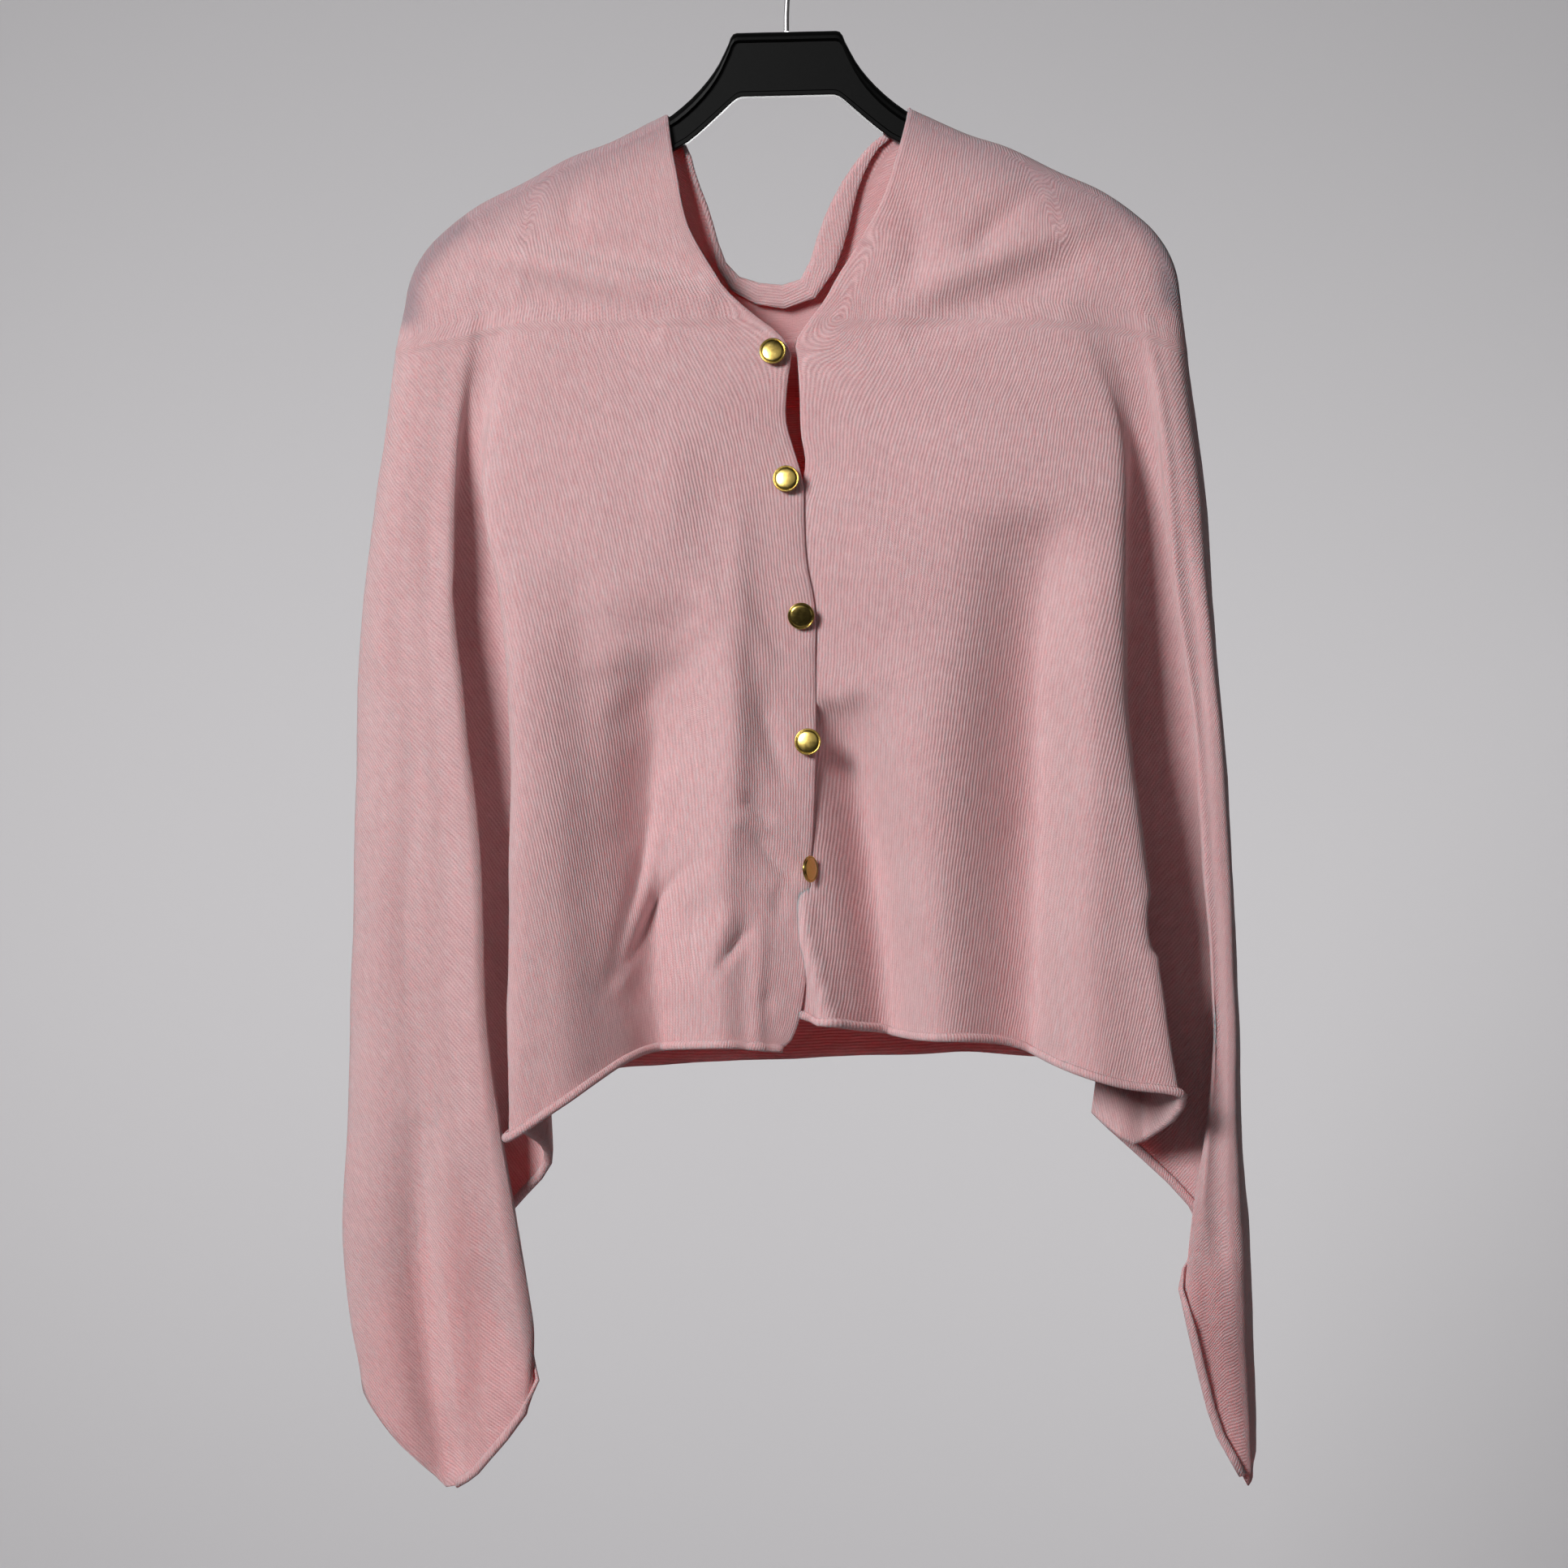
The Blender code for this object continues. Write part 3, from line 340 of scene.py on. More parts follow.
# %% Tables: the front edges
# Front edges, from the neck point down to the hem
LEFT_EDGE = (
    # height, x
    (-123, -70), (-143.5, -66), (-159, -63), (-176, -60), (-188, -56.5), (-199, -51), (-212, -43),
    (-223, -36), (-237, -21), (-249, -5.5), (-259, 1), (-270, 0), (-284, -1.5), (-298, -1.5),
    (-316, 3.5), (-333, 8), (-353, 8.7), (-381, 10.6), (-399, 14.2), (-436, 15), (-478, 15.3),
    (-517, 14), (-563, 11.7), (-609, 10), (-628, 7.2), (-639, 4.4), (-646, 0.8), (-650, -4),
)
RIGHT_EDGE = (
    # height, x
    (-119, 70), (-135, 67), (-152.5, 62), (-162.5, 59), (-176, 53.5), (-189.5, 46), (-203.5, 38),
    (-215, 30.5), (-230.5, 22), (-243.5, 12), (-254, 6.5), (-260.5, 7.3), (-279, 8.7), (-307, 9.8),
    (-320, 12), (-331, 10.5), (-345, 6), (-400, 3), (-470, 0), (-550, -3), (-600, -5), (-629, -7),
)

# %% Tables: sections of the fronts
# Sections of each front: where its main folds are, seen from the front
LEFT_WIDTHS = (
    # height, ridge, valley, inner, wing, trough, side
    (-246, -150, -165, -172, -180, -200, -220),
    (-300, -165, -175, -183, -187, -207, -226.5),
    (-340, -168, -172, -188, -187.5, -212, -232.5),
    (-400, -157.5, -160, -191, -187.5, -218, -239.5),
    (-470, -151.5, -151, -185, -180, -214, -243.5),
    (-550, -152, -146, -177, -171.5, -214, -244.5),
    (-630, -153, -140, -174, -169, -213, -247),
    (-700, -152, -134, -166, -160.5, -211, -249),
    (-760, -152, -132, -168, -150.5, -208, -251.5),
    (-812, -152, -132, -168, -142.5, -203, -246),
    (-845, -152, -132, -168, -144, -199, -240),
    (-902, -152, -132, -168, -146, -191, -238),
)
LEFT_DEPTHS = (
    # height, edge, ridge, valley, inner, wing, trough, round, side
    (-246, -18, -17, -14, -13, -14, -12, -9, 0),
    (-300, -21, -24, -9, -10, -18, -16, -12, 0),
    (-340, -24, -29, 1, -1, -21, -19, -14, 0),
    (-400, -28, -37, 7, 3, -24, -21, -16, 0),
    (-470, -32, -46, 9, 5, -27, -23, -17, 0),
    (-550, -36, -54, 10, 6, -30, -24, -18, 0),
    (-630, -39, -61, 9, 9, -32, -24, -18, 0),
    (-700, -41, -66, -2, 10, -32, -22, -17, 0),
    (-760, -42, -66, -12, 10, -28, -18, -15, 0),
    (-812, -42, -66, -12, 10, -19, -12, -12, 0),
    (-902, -42, -66, -12, 10, -14, -8, -8, 0),
)
RIGHT_WIDTHS = (
    # height, ridge, valley, inner, wing, trough, side
    (-246, 160, 182, 196, 204, 215, 225),
    (-300, 186, 198, 209, 212, 222, 231.5),
    (-340, 187, 196, 214, 213.5, 226, 238.5),
    (-400, 186, 196, 222, 219, 231, 241.5),
    (-460, 187, 192, 231, 228, 238, 246.5),
    (-520, 194.5, 192, 236, 232.5, 242, 251),
    (-580, 203, 190, 239, 236, 246, 254),
    (-640, 211, 182, 241, 238.5, 248, 256.5),
    (-700, 220, 172, 237, 235, 248, 258),
    (-760, 220, 172, 238, 226.5, 249, 263),
    (-812, 220, 172, 238, 223, 253, 265.5),
    (-902, 220, 172, 238, 222, 260, 267),
)
RIGHT_DEPTHS = (
    # height, edge, ridge, valley, inner, wing, trough, round, side
    (-246, -14, -16, -12, -12, -13, -12, -9, 0),
    (-300, -17, -22, -8, -9, -19, -16, -11, 2),
    (-340, -20, -28, 2, 0, -21, -21, -16, 3),
    (-400, -23, -36, 8, 4, -21, -24, -20, 5),
    (-460, -27, -43, 10, 7, -21, -26, -22, 6),
    (-520, -31, -50, 12, 9, -21, -27, -23, 7),
    (-580, -32, -56, 13, 10, -22, -28, -23, 8),
    (-640, -31.5, -61, 10, 11, -22, -28, -23, 9),
    (-700, -31.5, -64, -6, 9, -22, -27, -21, 11),
    (-760, -31.5, -64, -12, 8, -22, -25, -18, 12),
    (-812, -31.5, -64, -12, 8, -22, -15, -7, 13),
    (-902, -31.5, -64, -12, 8, -18, -12, -4, 14),
)

# %% Tables: sections of the back
# Sections of the back, the same way
BACK_LEFT_WIDTHS = (
    # height, neck, ridge, valley, wing
    (-246, -66, -140, -168, -196),
    (-340, -66, -158, -182, -208),
    (-440, -67, -166, -190, -215),
    (-540, -68, -170, -195, -220),
    (-640, -70, -170, -198, -224),
    (-740, -70, -168, -200, -228),
    (-872, -70, -166, -202, -232),
)
BACK_LEFT_DEPTHS = (
    # height, neck, panel, ridge, valley, wing, round
    (-246, 14, 17, 17, 13, 11, 9),
    (-340, 18, 22, 28, 18, 19, 12),
    (-440, 22, 28, 42, 17, 26, 15),
    (-540, 28, 37, 54, 16, 31, 17),
    (-640, 34, 46, 64, 18, 34, 19),
    (-740, 38, 50, 70, 20, 36, 20),
    (-872, 38, 50, 70, 20, 36, 20),
)
BACK_RIGHT_WIDTHS = (
    # height, neck, ridge, valley, wing
    (-246, 66, 140, 170, 198),
    (-340, 66, 158, 186, 214),
    (-440, 68, 168, 196, 224),
    (-540, 70, 174, 202, 232),
    (-640, 71, 177, 206, 238),
    (-740, 72, 178, 208, 242),
    (-872, 72, 178, 210, 246),
)
BACK_RIGHT_DEPTHS = (
    # height, neck, panel, ridge, valley, wing, round
    (-246, 14, 17, 17, 13, 11, 9),
    (-340, 18, 21, 27, 17, 22, 16),
    (-440, 24, 26, 40, 18, 32, 24),
    (-540, 30, 34, 52, 20, 40, 30),
    (-640, 33, 42, 62, 24, 46, 36),
    (-740, 36, 46, 66, 28, 50, 40),
    (-872, 36, 46, 66, 30, 50, 42),
)
BACK_MIDDLE_DEPTHS = (
    # height, left of the middle, middle, right of the middle
    (-246, 23, 29, 24),
    (-290, 25, 28, 25),
    (-340, 23, 24, 22),
    (-440, 27, 27, 29),
    (-540, 34, 30, 36),
    (-661, 43, 35, 42),
)

# %% Tables: the folds and their hems
# Each fold has its place along the shoulder, 0 at the neck and 1 at the arm's tip, the heights at which
# it meets the hem on the left and on the right, and where its x and its depth are read: one column of
# the sections, or two columns and the share of the second
FRONT_FOLDS = (
    # fold, place, left hem, right hem, columns of the widths, of the depths, bulge towards the viewer
    ("edge", 0.0, -649, -627, (1,), (1,), 0),
    ("chest_1", 0.10, -646.5, -641, (1, 2, 0.28), (1, 2, 0.28), 5),
    ("chest_2", 0.20, -653, -645, (1, 2, 0.56), (1, 2, 0.56), 8),
    ("chest_3", 0.29, -680, -666, (1, 2, 0.84), (1, 2, 0.9), 5),
    ("ridge", 0.36, -697, -674, (2,), (2,), 0),
    ("wall", 0.43, -695, -702, (2, 3, 0.5), (2, 3, 0.52), 0),
    ("valley", 0.50, -716, -687, (3,), (3,), 0),
    ("inner", 0.57, -765, -750, (4,), (4,), 0),
    ("wing", 0.64, -838, -786, (5,), (5,), 0),
    ("drape", 0.71, -883, -856, (5, 6, 0.5), (5, 6, 0.5), 0),
    ("trough", 0.79, -902, -899, (6,), (6,), 0),
    ("round", 0.90, -873, -888, (6, 7, 0.6), (7,), 0),
    ("side", 1.0, -847, -873, (7,), (8,), 0),
)
BACK_FOLDS = (
    ("round", 0.90, -832, -836, (4, 5, 0.6), (6,), 0),
    ("wing", 0.78, -795, -768, (4,), (5,), 0),
    ("valley", 0.66, -752, -702, (3,), (4,), 0),
    ("wall", 0.58, -735, -688, (2, 3, 0.5), (3, 4, 0.5), 0),
    ("ridge", 0.50, -722, -663, (2,), (3,), 0),
    ("panel_2", 0.34, -684, -660, (1, 2, 0.66), (2, 3, 0.3), 0),
    ("panel_1", 0.17, -668, -657, (1, 2, 0.33), (1, 2, 0.7), 0),
    ("neck", 0.0, -664, -658, (1,), (1,), 0),
)
MIDDLE_FOLDS = (
    # place along the back neck, height at the hem
    (0.25, -662),
    (0.5, -661),
    (0.75, -659),
)
HEM_CORNER_FOLD = len(FRONT_FOLDS) - 3  # counted from the front edge
SOLID_ROWS = (0, 3, 7, 19)  # rows of the solids at the arm, below it, at the yoke and at the hem
PLEAT_WALL_TOP = -420  # below this height the pleats' walls lean outwards a little
HALF_NECK = 68  # the back neck's half width, below it
MIDDLE_DROP = 0.35  # share of the way to the yoke that the first rows below the neck take

# %% Tables: the back neck
# Back neck: the fold of the drooping edge, from one shoulder to the other
NECK_EDGE = (
    # x, y, z
    (-70, 0, -121.5), (-68.6, 5, -123.6), (-66.5, 7.2, -128.5), (-58, 9, -139), (-52.5, 11, -157),
    (-45.5, 13, -176), (-40, 16, -196), (-33, 19, -211), (-20, 22, -217), (-6, 23, -219),
    (7, 22, -218), (14.5, 19, -210), (19, 17, -196), (26.5, 14, -175), (37, 11, -155),
    (52, 9, -136), (65.8, 7.2, -125.5), (68.2, 5, -120.4), (70, 0, -118),
)
NECK_CENTRE = (-3, 0, -165)
# How wide the turned-in edge is along the neck, and the radius of its fold
LIP_ROWS = (
    # place, width, radius
    (0.0, 0.5, 0.5), (0.08, 0.9, 0.9), (0.2, 1.4, 1.2), (0.32, 2.0, 1.6), (0.39, 6, 2.2),
    (0.46, 10, 2.6), (0.55, 11, 2.6), (0.64, 13, 2.6), (0.7, 12, 2.6), (0.76, 8.5, 2.4),
    (0.82, 5, 2.0), (0.88, 2.5, 1.5), (0.95, 1.0, 1.0), (1.0, 0.5, 0.5),
)

# %% Curves through the tables
def curve(knots, rows, at, corners=()):
    """Read a smooth curve through rows of values; it turns sharply at the knots named as corners."""
    knots = np.asarray(knots, float)
    rows = np.asarray(rows, float).reshape(len(knots), -1)
    at = np.clip(np.asarray(at, float), knots[0], knots[-1])
    gaps = np.diff(knots)
    steps = np.diff(rows, axis=0) / gaps[:, None]
    inner = (steps[:-1] * gaps[1:, None] + steps[1:] * gaps[:-1, None]) / (gaps[:-1] + gaps[1:])[:, None]
    slopes = np.vstack([steps[:1], inner, steps[-1:]])
    span = np.clip(np.searchsorted(knots, at, side="right") - 1, 0, len(gaps) - 1)
    t = ((at - knots[span]) / gaps[span])[:, None]
    before = slopes[span].copy()
    after = slopes[span + 1].copy()
    for corner in corners:
        before[span == corner] = steps[corner]
        after[span == corner - 1] = steps[corner - 1]
    start, end, gap = rows[span], rows[span + 1], gaps[span][:, None]
    return (
        start * (1 + 2 * t) * (1 - t) ** 2
        + before * gap * t * (1 - t) ** 2
        + end * t * t * (3 - 2 * t)
        - after * gap * t * t * (1 - t)
    )


def by_height(table, column, heights):
    """Read one column of a table whose first column is the height."""
    rows = sorted(table)
    return curve([r[0] for r in rows], [r[column] for r in rows], heights)[:, 0]


def distance_along(points):
    """How far each point of a line is from its start."""
    return np.concatenate([[0], np.cumsum(np.linalg.norm(np.diff(points, axis=0), axis=1))])


def tilt(x, z):
    """Turn a point of the upright hanger by the hanger's tilt, about the foot of its hook."""
    angle = math.radians(HANGER_TILT)
    z = z - HANGER_TOP
    return x * math.cos(angle) - z * math.sin(angle), HANGER_TOP + x * math.sin(angle) + z * math.cos(angle)


def shoulder(side, places):
    """Points of the cloth's middle along an arm, from neck to tip, with the cosine of its slope."""
    rows = np.array(ARM_TOP, float)
    along = np.gradient(rows, axis=0)
    along /= np.linalg.norm(along, axis=1)[:, None]
    rows += np.stack([-along[:, 1], along[:, 0]], axis=1) * (WRAP - ARM_RADIUS)
    lengths = distance_along(rows)
    at = np.asarray(places, float) * lengths[-1]
    points = curve(lengths, rows, at)
    ahead = curve(lengths, rows, np.minimum(at + 1, lengths[-1]))
    behind = curve(lengths, rows, np.maximum(at - 1, 0))
    run = ahead - behind
    cosine = np.abs(run[:, 0]) / np.linalg.norm(run, axis=1)
    x, z = tilt(side * points[:, 0], points[:, 1])
    return np.stack([x, np.zeros(len(x)), z], axis=1), cosine


def row_heights(top, drop, hem, levels):
    """Heights of the rows of one fold: over the arm, down the yoke, then down to the hem."""
    over = top - drop * (1 - np.cos(np.clip(levels, 0, 1) * math.pi / 2))
    below = np.interp(levels, (1, 2, 3), (top - drop, YOKE, hem))
    return np.where(levels < 1, over, below)


def fold_line(top, cosine, hem, widths, depths, facing, levels):
    """Points of one fold from the shoulder to the hem. Facing is -1 in front and 1 behind."""
    drop = min(WRAP / max(cosine, 0.05), 0.5 * (top[2] - YOKE))
    heights = row_heights(top[2], drop, hem, levels)
    xs = by_height([(top[2], top[0]), *widths], 1, heights)
    side = depths[0][1] == 0  # the outer edge, which lies in the plane of the hanger
    start = 0.0 if side else facing * WRAP
    ys = by_height([(top[2] - drop, start), *depths], 1, heights)
    over = start * np.sin(np.clip(levels, 0, 1) * math.pi / 2)
    return np.stack([xs, np.where(levels < 1, over, ys), heights], axis=1)


def pick(table, *columns):
    """One column of a table with the heights, or two columns blended by a share."""
    if len(columns) == 1:
        return [(row[0], row[columns[0]]) for row in table]
    first, second, share = columns
    return [(row[0], row[first] * (1 - share) + row[second] * share) for row in table]


def with_column(table, other, column, at):
    """A table of sections with one column of another table read in at a given place."""
    return [(*row[:at], float(by_height(other, column, [row[0]])[0]), *row[at:]) for row in table]


# the front edge's own x stands before the widths of a front, and the side's after those of the back
SECTIONS = {
    # side, -1 on the left, and facing: folds, widths, depths
    (-1, -1): (FRONT_FOLDS, with_column(LEFT_WIDTHS, LEFT_EDGE, 1, 1), LEFT_DEPTHS),
    (1, -1): (FRONT_FOLDS, with_column(RIGHT_WIDTHS, RIGHT_EDGE, 1, 1), RIGHT_DEPTHS),
    (-1, 1): (BACK_FOLDS, with_column(BACK_LEFT_WIDTHS, LEFT_WIDTHS, 6, 5), BACK_LEFT_DEPTHS),
    (1, 1): (BACK_FOLDS, with_column(BACK_RIGHT_WIDTHS, RIGHT_WIDTHS, 6, 5), BACK_RIGHT_DEPTHS),
}


def arm_folds(side, facing, levels):
    """Fold lines that hang from one arm, in front (facing -1) or behind (facing 1)."""
    folds, widths, depths = SECTIONS[side, facing]
    lines = []
    for name, place, *hems, width_columns, depth_columns, bulge in folds:
        points, cosine = shoulder(side, [place])
        xs = pick(widths, *width_columns)
        if name == "edge":  # its own table runs up to the neck point
            xs = sorted(LEFT_EDGE if side < 0 else RIGHT_EDGE)[:-1]
        if name == "wall" and facing < 0:
            xs = [(h, x + side * 2 * (h < PLEAT_WALL_TOP)) for h, x in xs]
        ys = [(h, y - bulge * min(1.0, (YOKE - h + 60) / 160)) for h, y in pick(depths, *depth_columns)]
        hem = hems[0] if side < 0 else hems[1]
        lines.append(fold_line(points[0], cosine[0], hem, xs, ys, facing, levels))
    return lines


def neck_edge(places):
    """Points of the back neck's edge, from the left shoulder to the right one."""
    rows = np.array(NECK_EDGE, float)
    rows[0] = shoulder(-1, [0])[0][0]
    rows[-1] = shoulder(1, [0])[0][0]
    lengths = distance_along(rows)
    return curve(lengths, rows, np.asarray(places, float) * lengths[-1])


def middle_folds(levels):
    """Fold lines below the back neck."""
    lines = []
    for number, (place, hem) in enumerate(MIDDLE_FOLDS, 1):
        top = neck_edge([place])[0]
        share = (place - 0.5) * 2
        heights = row_heights(top[2], MIDDLE_DROP * (top[2] - YOKE), hem, levels)
        rows = [(row[0], share * HALF_NECK, row[number]) for row in BACK_MIDDLE_DEPTHS]
        rows.append((top[2], top[0], top[1]))
        lines.append(np.stack([by_height(rows, 1, heights), by_height(rows, 2, heights), heights], axis=1))
    return lines


def garment_folds(levels):
    """Every fold line in order: left front, back from left to right, right front."""
    left, right = arm_folds(-1, -1, levels), arm_folds(1, -1, levels)
    back = arm_folds(-1, 1, levels) + middle_folds(levels) + arm_folds(1, 1, levels)[::-1]
    return left + back + right[::-1]


# %% The sheet's grid
def places_across(steps):
    """Places along the shoulder, closer together over the front panel where the creases are."""
    panel, pleat, wing = steps
    return np.concatenate(
        [
            np.linspace(0, 0.36, panel, endpoint=False),
            np.linspace(0.36, 0.64, pleat, endpoint=False),
            np.linspace(0.64, 1.0, wing + 1),
        ]
    )


def neck_places(steps):
    """Where the columns meet the back neck, from 0 at the left to 1 at the right."""
    from_end = np.linspace(0, 1, steps // 2 + 1) ** NECK_CROWDING / 2
    return np.concatenate([from_end, 1 - from_end[-2::-1]])


def row_levels(steps):
    """Rows: 0 to 1 over the arm, 1 to 2 down the yoke, 2 to 3 down to the hem."""
    over, yoke, body = steps
    return np.concatenate(
        [
            np.linspace(0, 1, over, endpoint=False),
            np.linspace(1, 2, yoke, endpoint=False),
            np.linspace(2, 3, body + 1),
        ]
    )


def fold_numbers(across, neck):
    """Fold number of every column, all the way round, and the points where the columns start."""
    front_knots = [fold[1] for fold in FRONT_FOLDS]
    back_knots = [fold[1] for fold in BACK_FOLDS][::-1] + [1.0]
    folds, backs = len(FRONT_FOLDS), len(BACK_FOLDS)
    last = 2 * folds + 2 * backs + len(MIDDLE_FOLDS) - 1
    front = np.interp(across, front_knots, range(folds))
    back = folds - 1 + backs - np.interp(across, back_knots, range(backs + 1))
    neck_knots = [0] + [fold[0] for fold in MIDDLE_FOLDS] + [1]
    middle = folds - 1 + backs + np.interp(neck, neck_knots, range(len(neck_knots)))
    left, right = shoulder(-1, across)[0], shoulder(1, across)[0]
    numbers = np.concatenate([front, back[-2::-1], middle[1:], (last - back)[1:], (last - front)[-2::-1]])
    tops = np.concatenate([left, left[-2::-1], neck_edge(neck)[1:], right[1:], right[-2::-1]])
    return numbers, tops


def sheet_grid(across, neck, levels):
    """Points of the whole sheet, [column][row], from the left front edge round to the right one."""
    lines = garment_folds(levels)
    numbers, tops = fold_numbers(across, neck)
    flat = np.stack(lines).reshape(len(lines), -1)
    corners = (HEM_CORNER_FOLD, len(lines) - 1 - HEM_CORNER_FOLD)
    smooth = curve(range(len(lines)), flat, numbers).reshape(len(numbers), len(levels), 3)
    sharp = curve(range(len(lines)), flat, numbers, corners).reshape(len(numbers), len(levels), 3)
    row = np.interp(levels, (0, 1, 2, 3), SOLID_ROWS)
    share = (row / SOLID_ROWS[3])[None, :] ** 2
    smooth[:, :, 2] = smooth[:, :, 2] * (1 - share) + sharp[:, :, 2] * share
    fade = np.clip(1 - row / SOLID_ROWS[2], 0, 1) ** 2
    smooth += (tops - smooth[:, 0])[:, None, :] * fade[None, :, None]
    return smooth, numbers


def weld(columns, rows, across):
    """Vertex number of each grid point; the two sides of a shoulder share their first row."""
    number = np.arange(columns * rows).reshape(columns, rows)
    steps = len(across) - 1
    for k in range(1, steps + 1):
        number[steps + k, 0] = number[steps - k, 0]
        number[columns - 1 - steps - k, 0] = number[columns - 1 - steps + k, 0]
    return number


# %% Make the grid
ACROSS = places_across((56, 18, 16))  # columns over the front panel, the pleat and the wing
NECK = neck_places(30)
LEVELS = row_levels((5, 18, 86))  # rows over the arm, down the yoke and down to the hem
ROW_SHIFT = 0.06  # moves rows closer together where the creases are
LEVELS = LEVELS + ROW_SHIFT * (1 - np.cos(math.tau * np.clip(LEVELS - 2, 0, 1)))
grid, numbers = sheet_grid(ACROSS, NECK, LEVELS)
columns, rows = grid.shape[:2]
steps = len(ACROSS) - 1
ids = weld(columns, rows, ACROSS)
print("sheet of", columns, "columns and", rows, "rows")


def unit(vectors):
    return vectors / np.maximum(np.linalg.norm(vectors, axis=-1, keepdims=True), 1e-9)


def grid_normals(points):
    """Outward directions of a grid of points."""
    return unit(np.cross(np.gradient(points, axis=0), np.gradient(points, axis=1)))


def soften(points, first, last, turns):
    """Even out the rows between two levels, but leave the outline of the front edges as it is."""
    share = np.sin(np.clip((LEVELS - first) / (last - first), 0, 1) * math.pi)[None, 1:-1, None] * 0.5
    from_edge = np.minimum(numbers, numbers[-1] - numbers)
    sideways = np.clip(from_edge - 1, 0, 1)
    share = share * np.stack([sideways, np.ones(columns), sideways], axis=1)[:, None, :]
    for turn in range(turns):
        middle = (points[:, :-2] + points[:, 2:]) / 2
        points[:, 1:-1] += (middle - points[:, 1:-1]) * share
    return points


# the tables begin at the yoke, level 2, which leaves a faint bend there that the real cloth hasn't
grid = soften(grid, first=1.35, last=2.25, turns=60)

# %% [markdown]
# ## Where the wales run
# On the real garment the wales are upright on the fronts, slant across the wings and lie level over
# the back, because the cloth is one flat rectangle. So a coarse copy of the sheet is laid flat
# again: its corners start at the rectangle's own, and springs as long as the cloth between them
# pull the points until the lengths agree. The result is the cloth's UV map, in metres.

# %% Lay the sheet flat
CUT_WIDTH, CUT_LENGTH = (side / MM for side in FLAT_CUT)
NECK_POINT = 600.0  # along the cut, from the left front's hem to the neck point
TIP_ALONG, TIP_ACROSS = 517.0, 164.0  # where the arm's tip lies on the cut
SIDE_HEM = 120.0  # along the cut, where the side's fold meets the long edge
STRIDE = 1.2  # share of its gap that a spring closes in one turn


def first_guess(points, numbers, columns, steps):
    """Places on the flat cut by shares of length; the right half mirrors the left one."""
    flat = np.zeros((*points.shape[:2], 2))
    down = np.linalg.norm(np.diff(points, axis=1), axis=2).cumsum(axis=1)
    down = np.concatenate([np.zeros((columns, 1)), down], axis=1) / down[:, -1:]
    hem = distance_along(points[:, -1])
    half = columns // 2
    corner = int(np.argmin(np.abs(numbers[:steps] - HEM_CORNER_FOLD)))
    tops = np.zeros((half + 1, 2))
    feet = np.zeros((half + 1, 2))
    for j in range(half + 1):
        share = j / steps if j <= steps else max(0.0, 2 - j / steps)
        tops[j] = (NECK_POINT + (TIP_ALONG - NECK_POINT) * share, TIP_ACROSS * share)
        if j > 2 * steps:
            tops[j] = (NECK_POINT + (CUT_LENGTH / 2 - NECK_POINT) * (j - 2 * steps) / (half - 2 * steps), 0)
        if j <= corner:
            feet[j] = (0, CUT_WIDTH * hem[j] / hem[corner])
        elif j <= steps:
            feet[j] = (SIDE_HEM * (hem[j] - hem[corner]) / (hem[steps] - hem[corner]), CUT_WIDTH)
        else:
            run = (hem[j] - hem[steps]) / (hem[half] - hem[steps])
            feet[j] = (SIDE_HEM + (CUT_LENGTH / 2 - SIDE_HEM) * run, CUT_WIDTH)
    left = tops[:, None] * (1 - down[: half + 1, :, None]) + feet[:, None] * down[: half + 1, :, None]
    flat[: half + 1] = left
    flat[-half - 1 :] = left[::-1] * (-1, 1) + (CUT_LENGTH, 0)
    return flat


def relax(points, flat, number, turns):
    """Move flat places until neighbours are as far apart as on the cloth."""
    pairs = []
    for a, b in (
        (number[:-1], number[1:]),
        (number[:, :-1], number[:, 1:]),
        (number[:-1, :-1], number[1:, 1:]),
        (number[1:, :-1], number[:-1, 1:]),
    ):
        pairs.append(np.stack([a.ravel(), b.ravel()], axis=1))
    pairs = np.concatenate(pairs)
    pairs = pairs[pairs[:, 0] != pairs[:, 1]]
    place = points.reshape(-1, 3)
    spread = flat.reshape(-1, 2).copy()
    rest = np.linalg.norm(place[pairs[:, 0]] - place[pairs[:, 1]], axis=1)
    count = np.bincount(pairs.ravel(), minlength=len(spread))
    front_edges = np.concatenate([number[0], number[-1]])
    for turn in range(turns):
        gap = spread[pairs[:, 1]] - spread[pairs[:, 0]]
        length = np.maximum(np.linalg.norm(gap, axis=1), 1e-6)
        push = gap * ((length - rest) / length / 2)[:, None]
        for axis in (0, 1):
            move = np.bincount(pairs[:, 0], push[:, axis], len(spread))
            move -= np.bincount(pairs[:, 1], push[:, axis], len(spread))
            spread[:, axis] += STRIDE * move / np.maximum(count, 1)
        spread[front_edges, 1] = 0
    return spread[number.ravel()].reshape(flat.shape)


coarse_across, coarse_neck = places_across((9, 8, 6)), neck_places(10)
coarse_levels = row_levels((2, 6, 18))
coarse, coarse_numbers = sheet_grid(coarse_across, coarse_neck, coarse_levels)
coarse_ids = weld(*coarse.shape[:2], coarse_across)
guess = first_guess(coarse, coarse_numbers, len(coarse), len(coarse_across) - 1)
laid = relax(coarse, guess, coarse_ids, turns=700)
gaps = np.linalg.norm(np.diff(laid, axis=0), axis=2) / np.linalg.norm(np.diff(coarse, axis=0), axis=2)
print("flat length over cloth length, middle value:", round(float(np.median(gaps)), 3))


def column_keys(across, neck):
    """One growing number for each column, the same scheme at any fineness."""
    return np.concatenate(
        [across, 2 - across[-2::-1], 2 + neck[1:], 3 + across[1:], 5 - across[-2::-1]]
    )


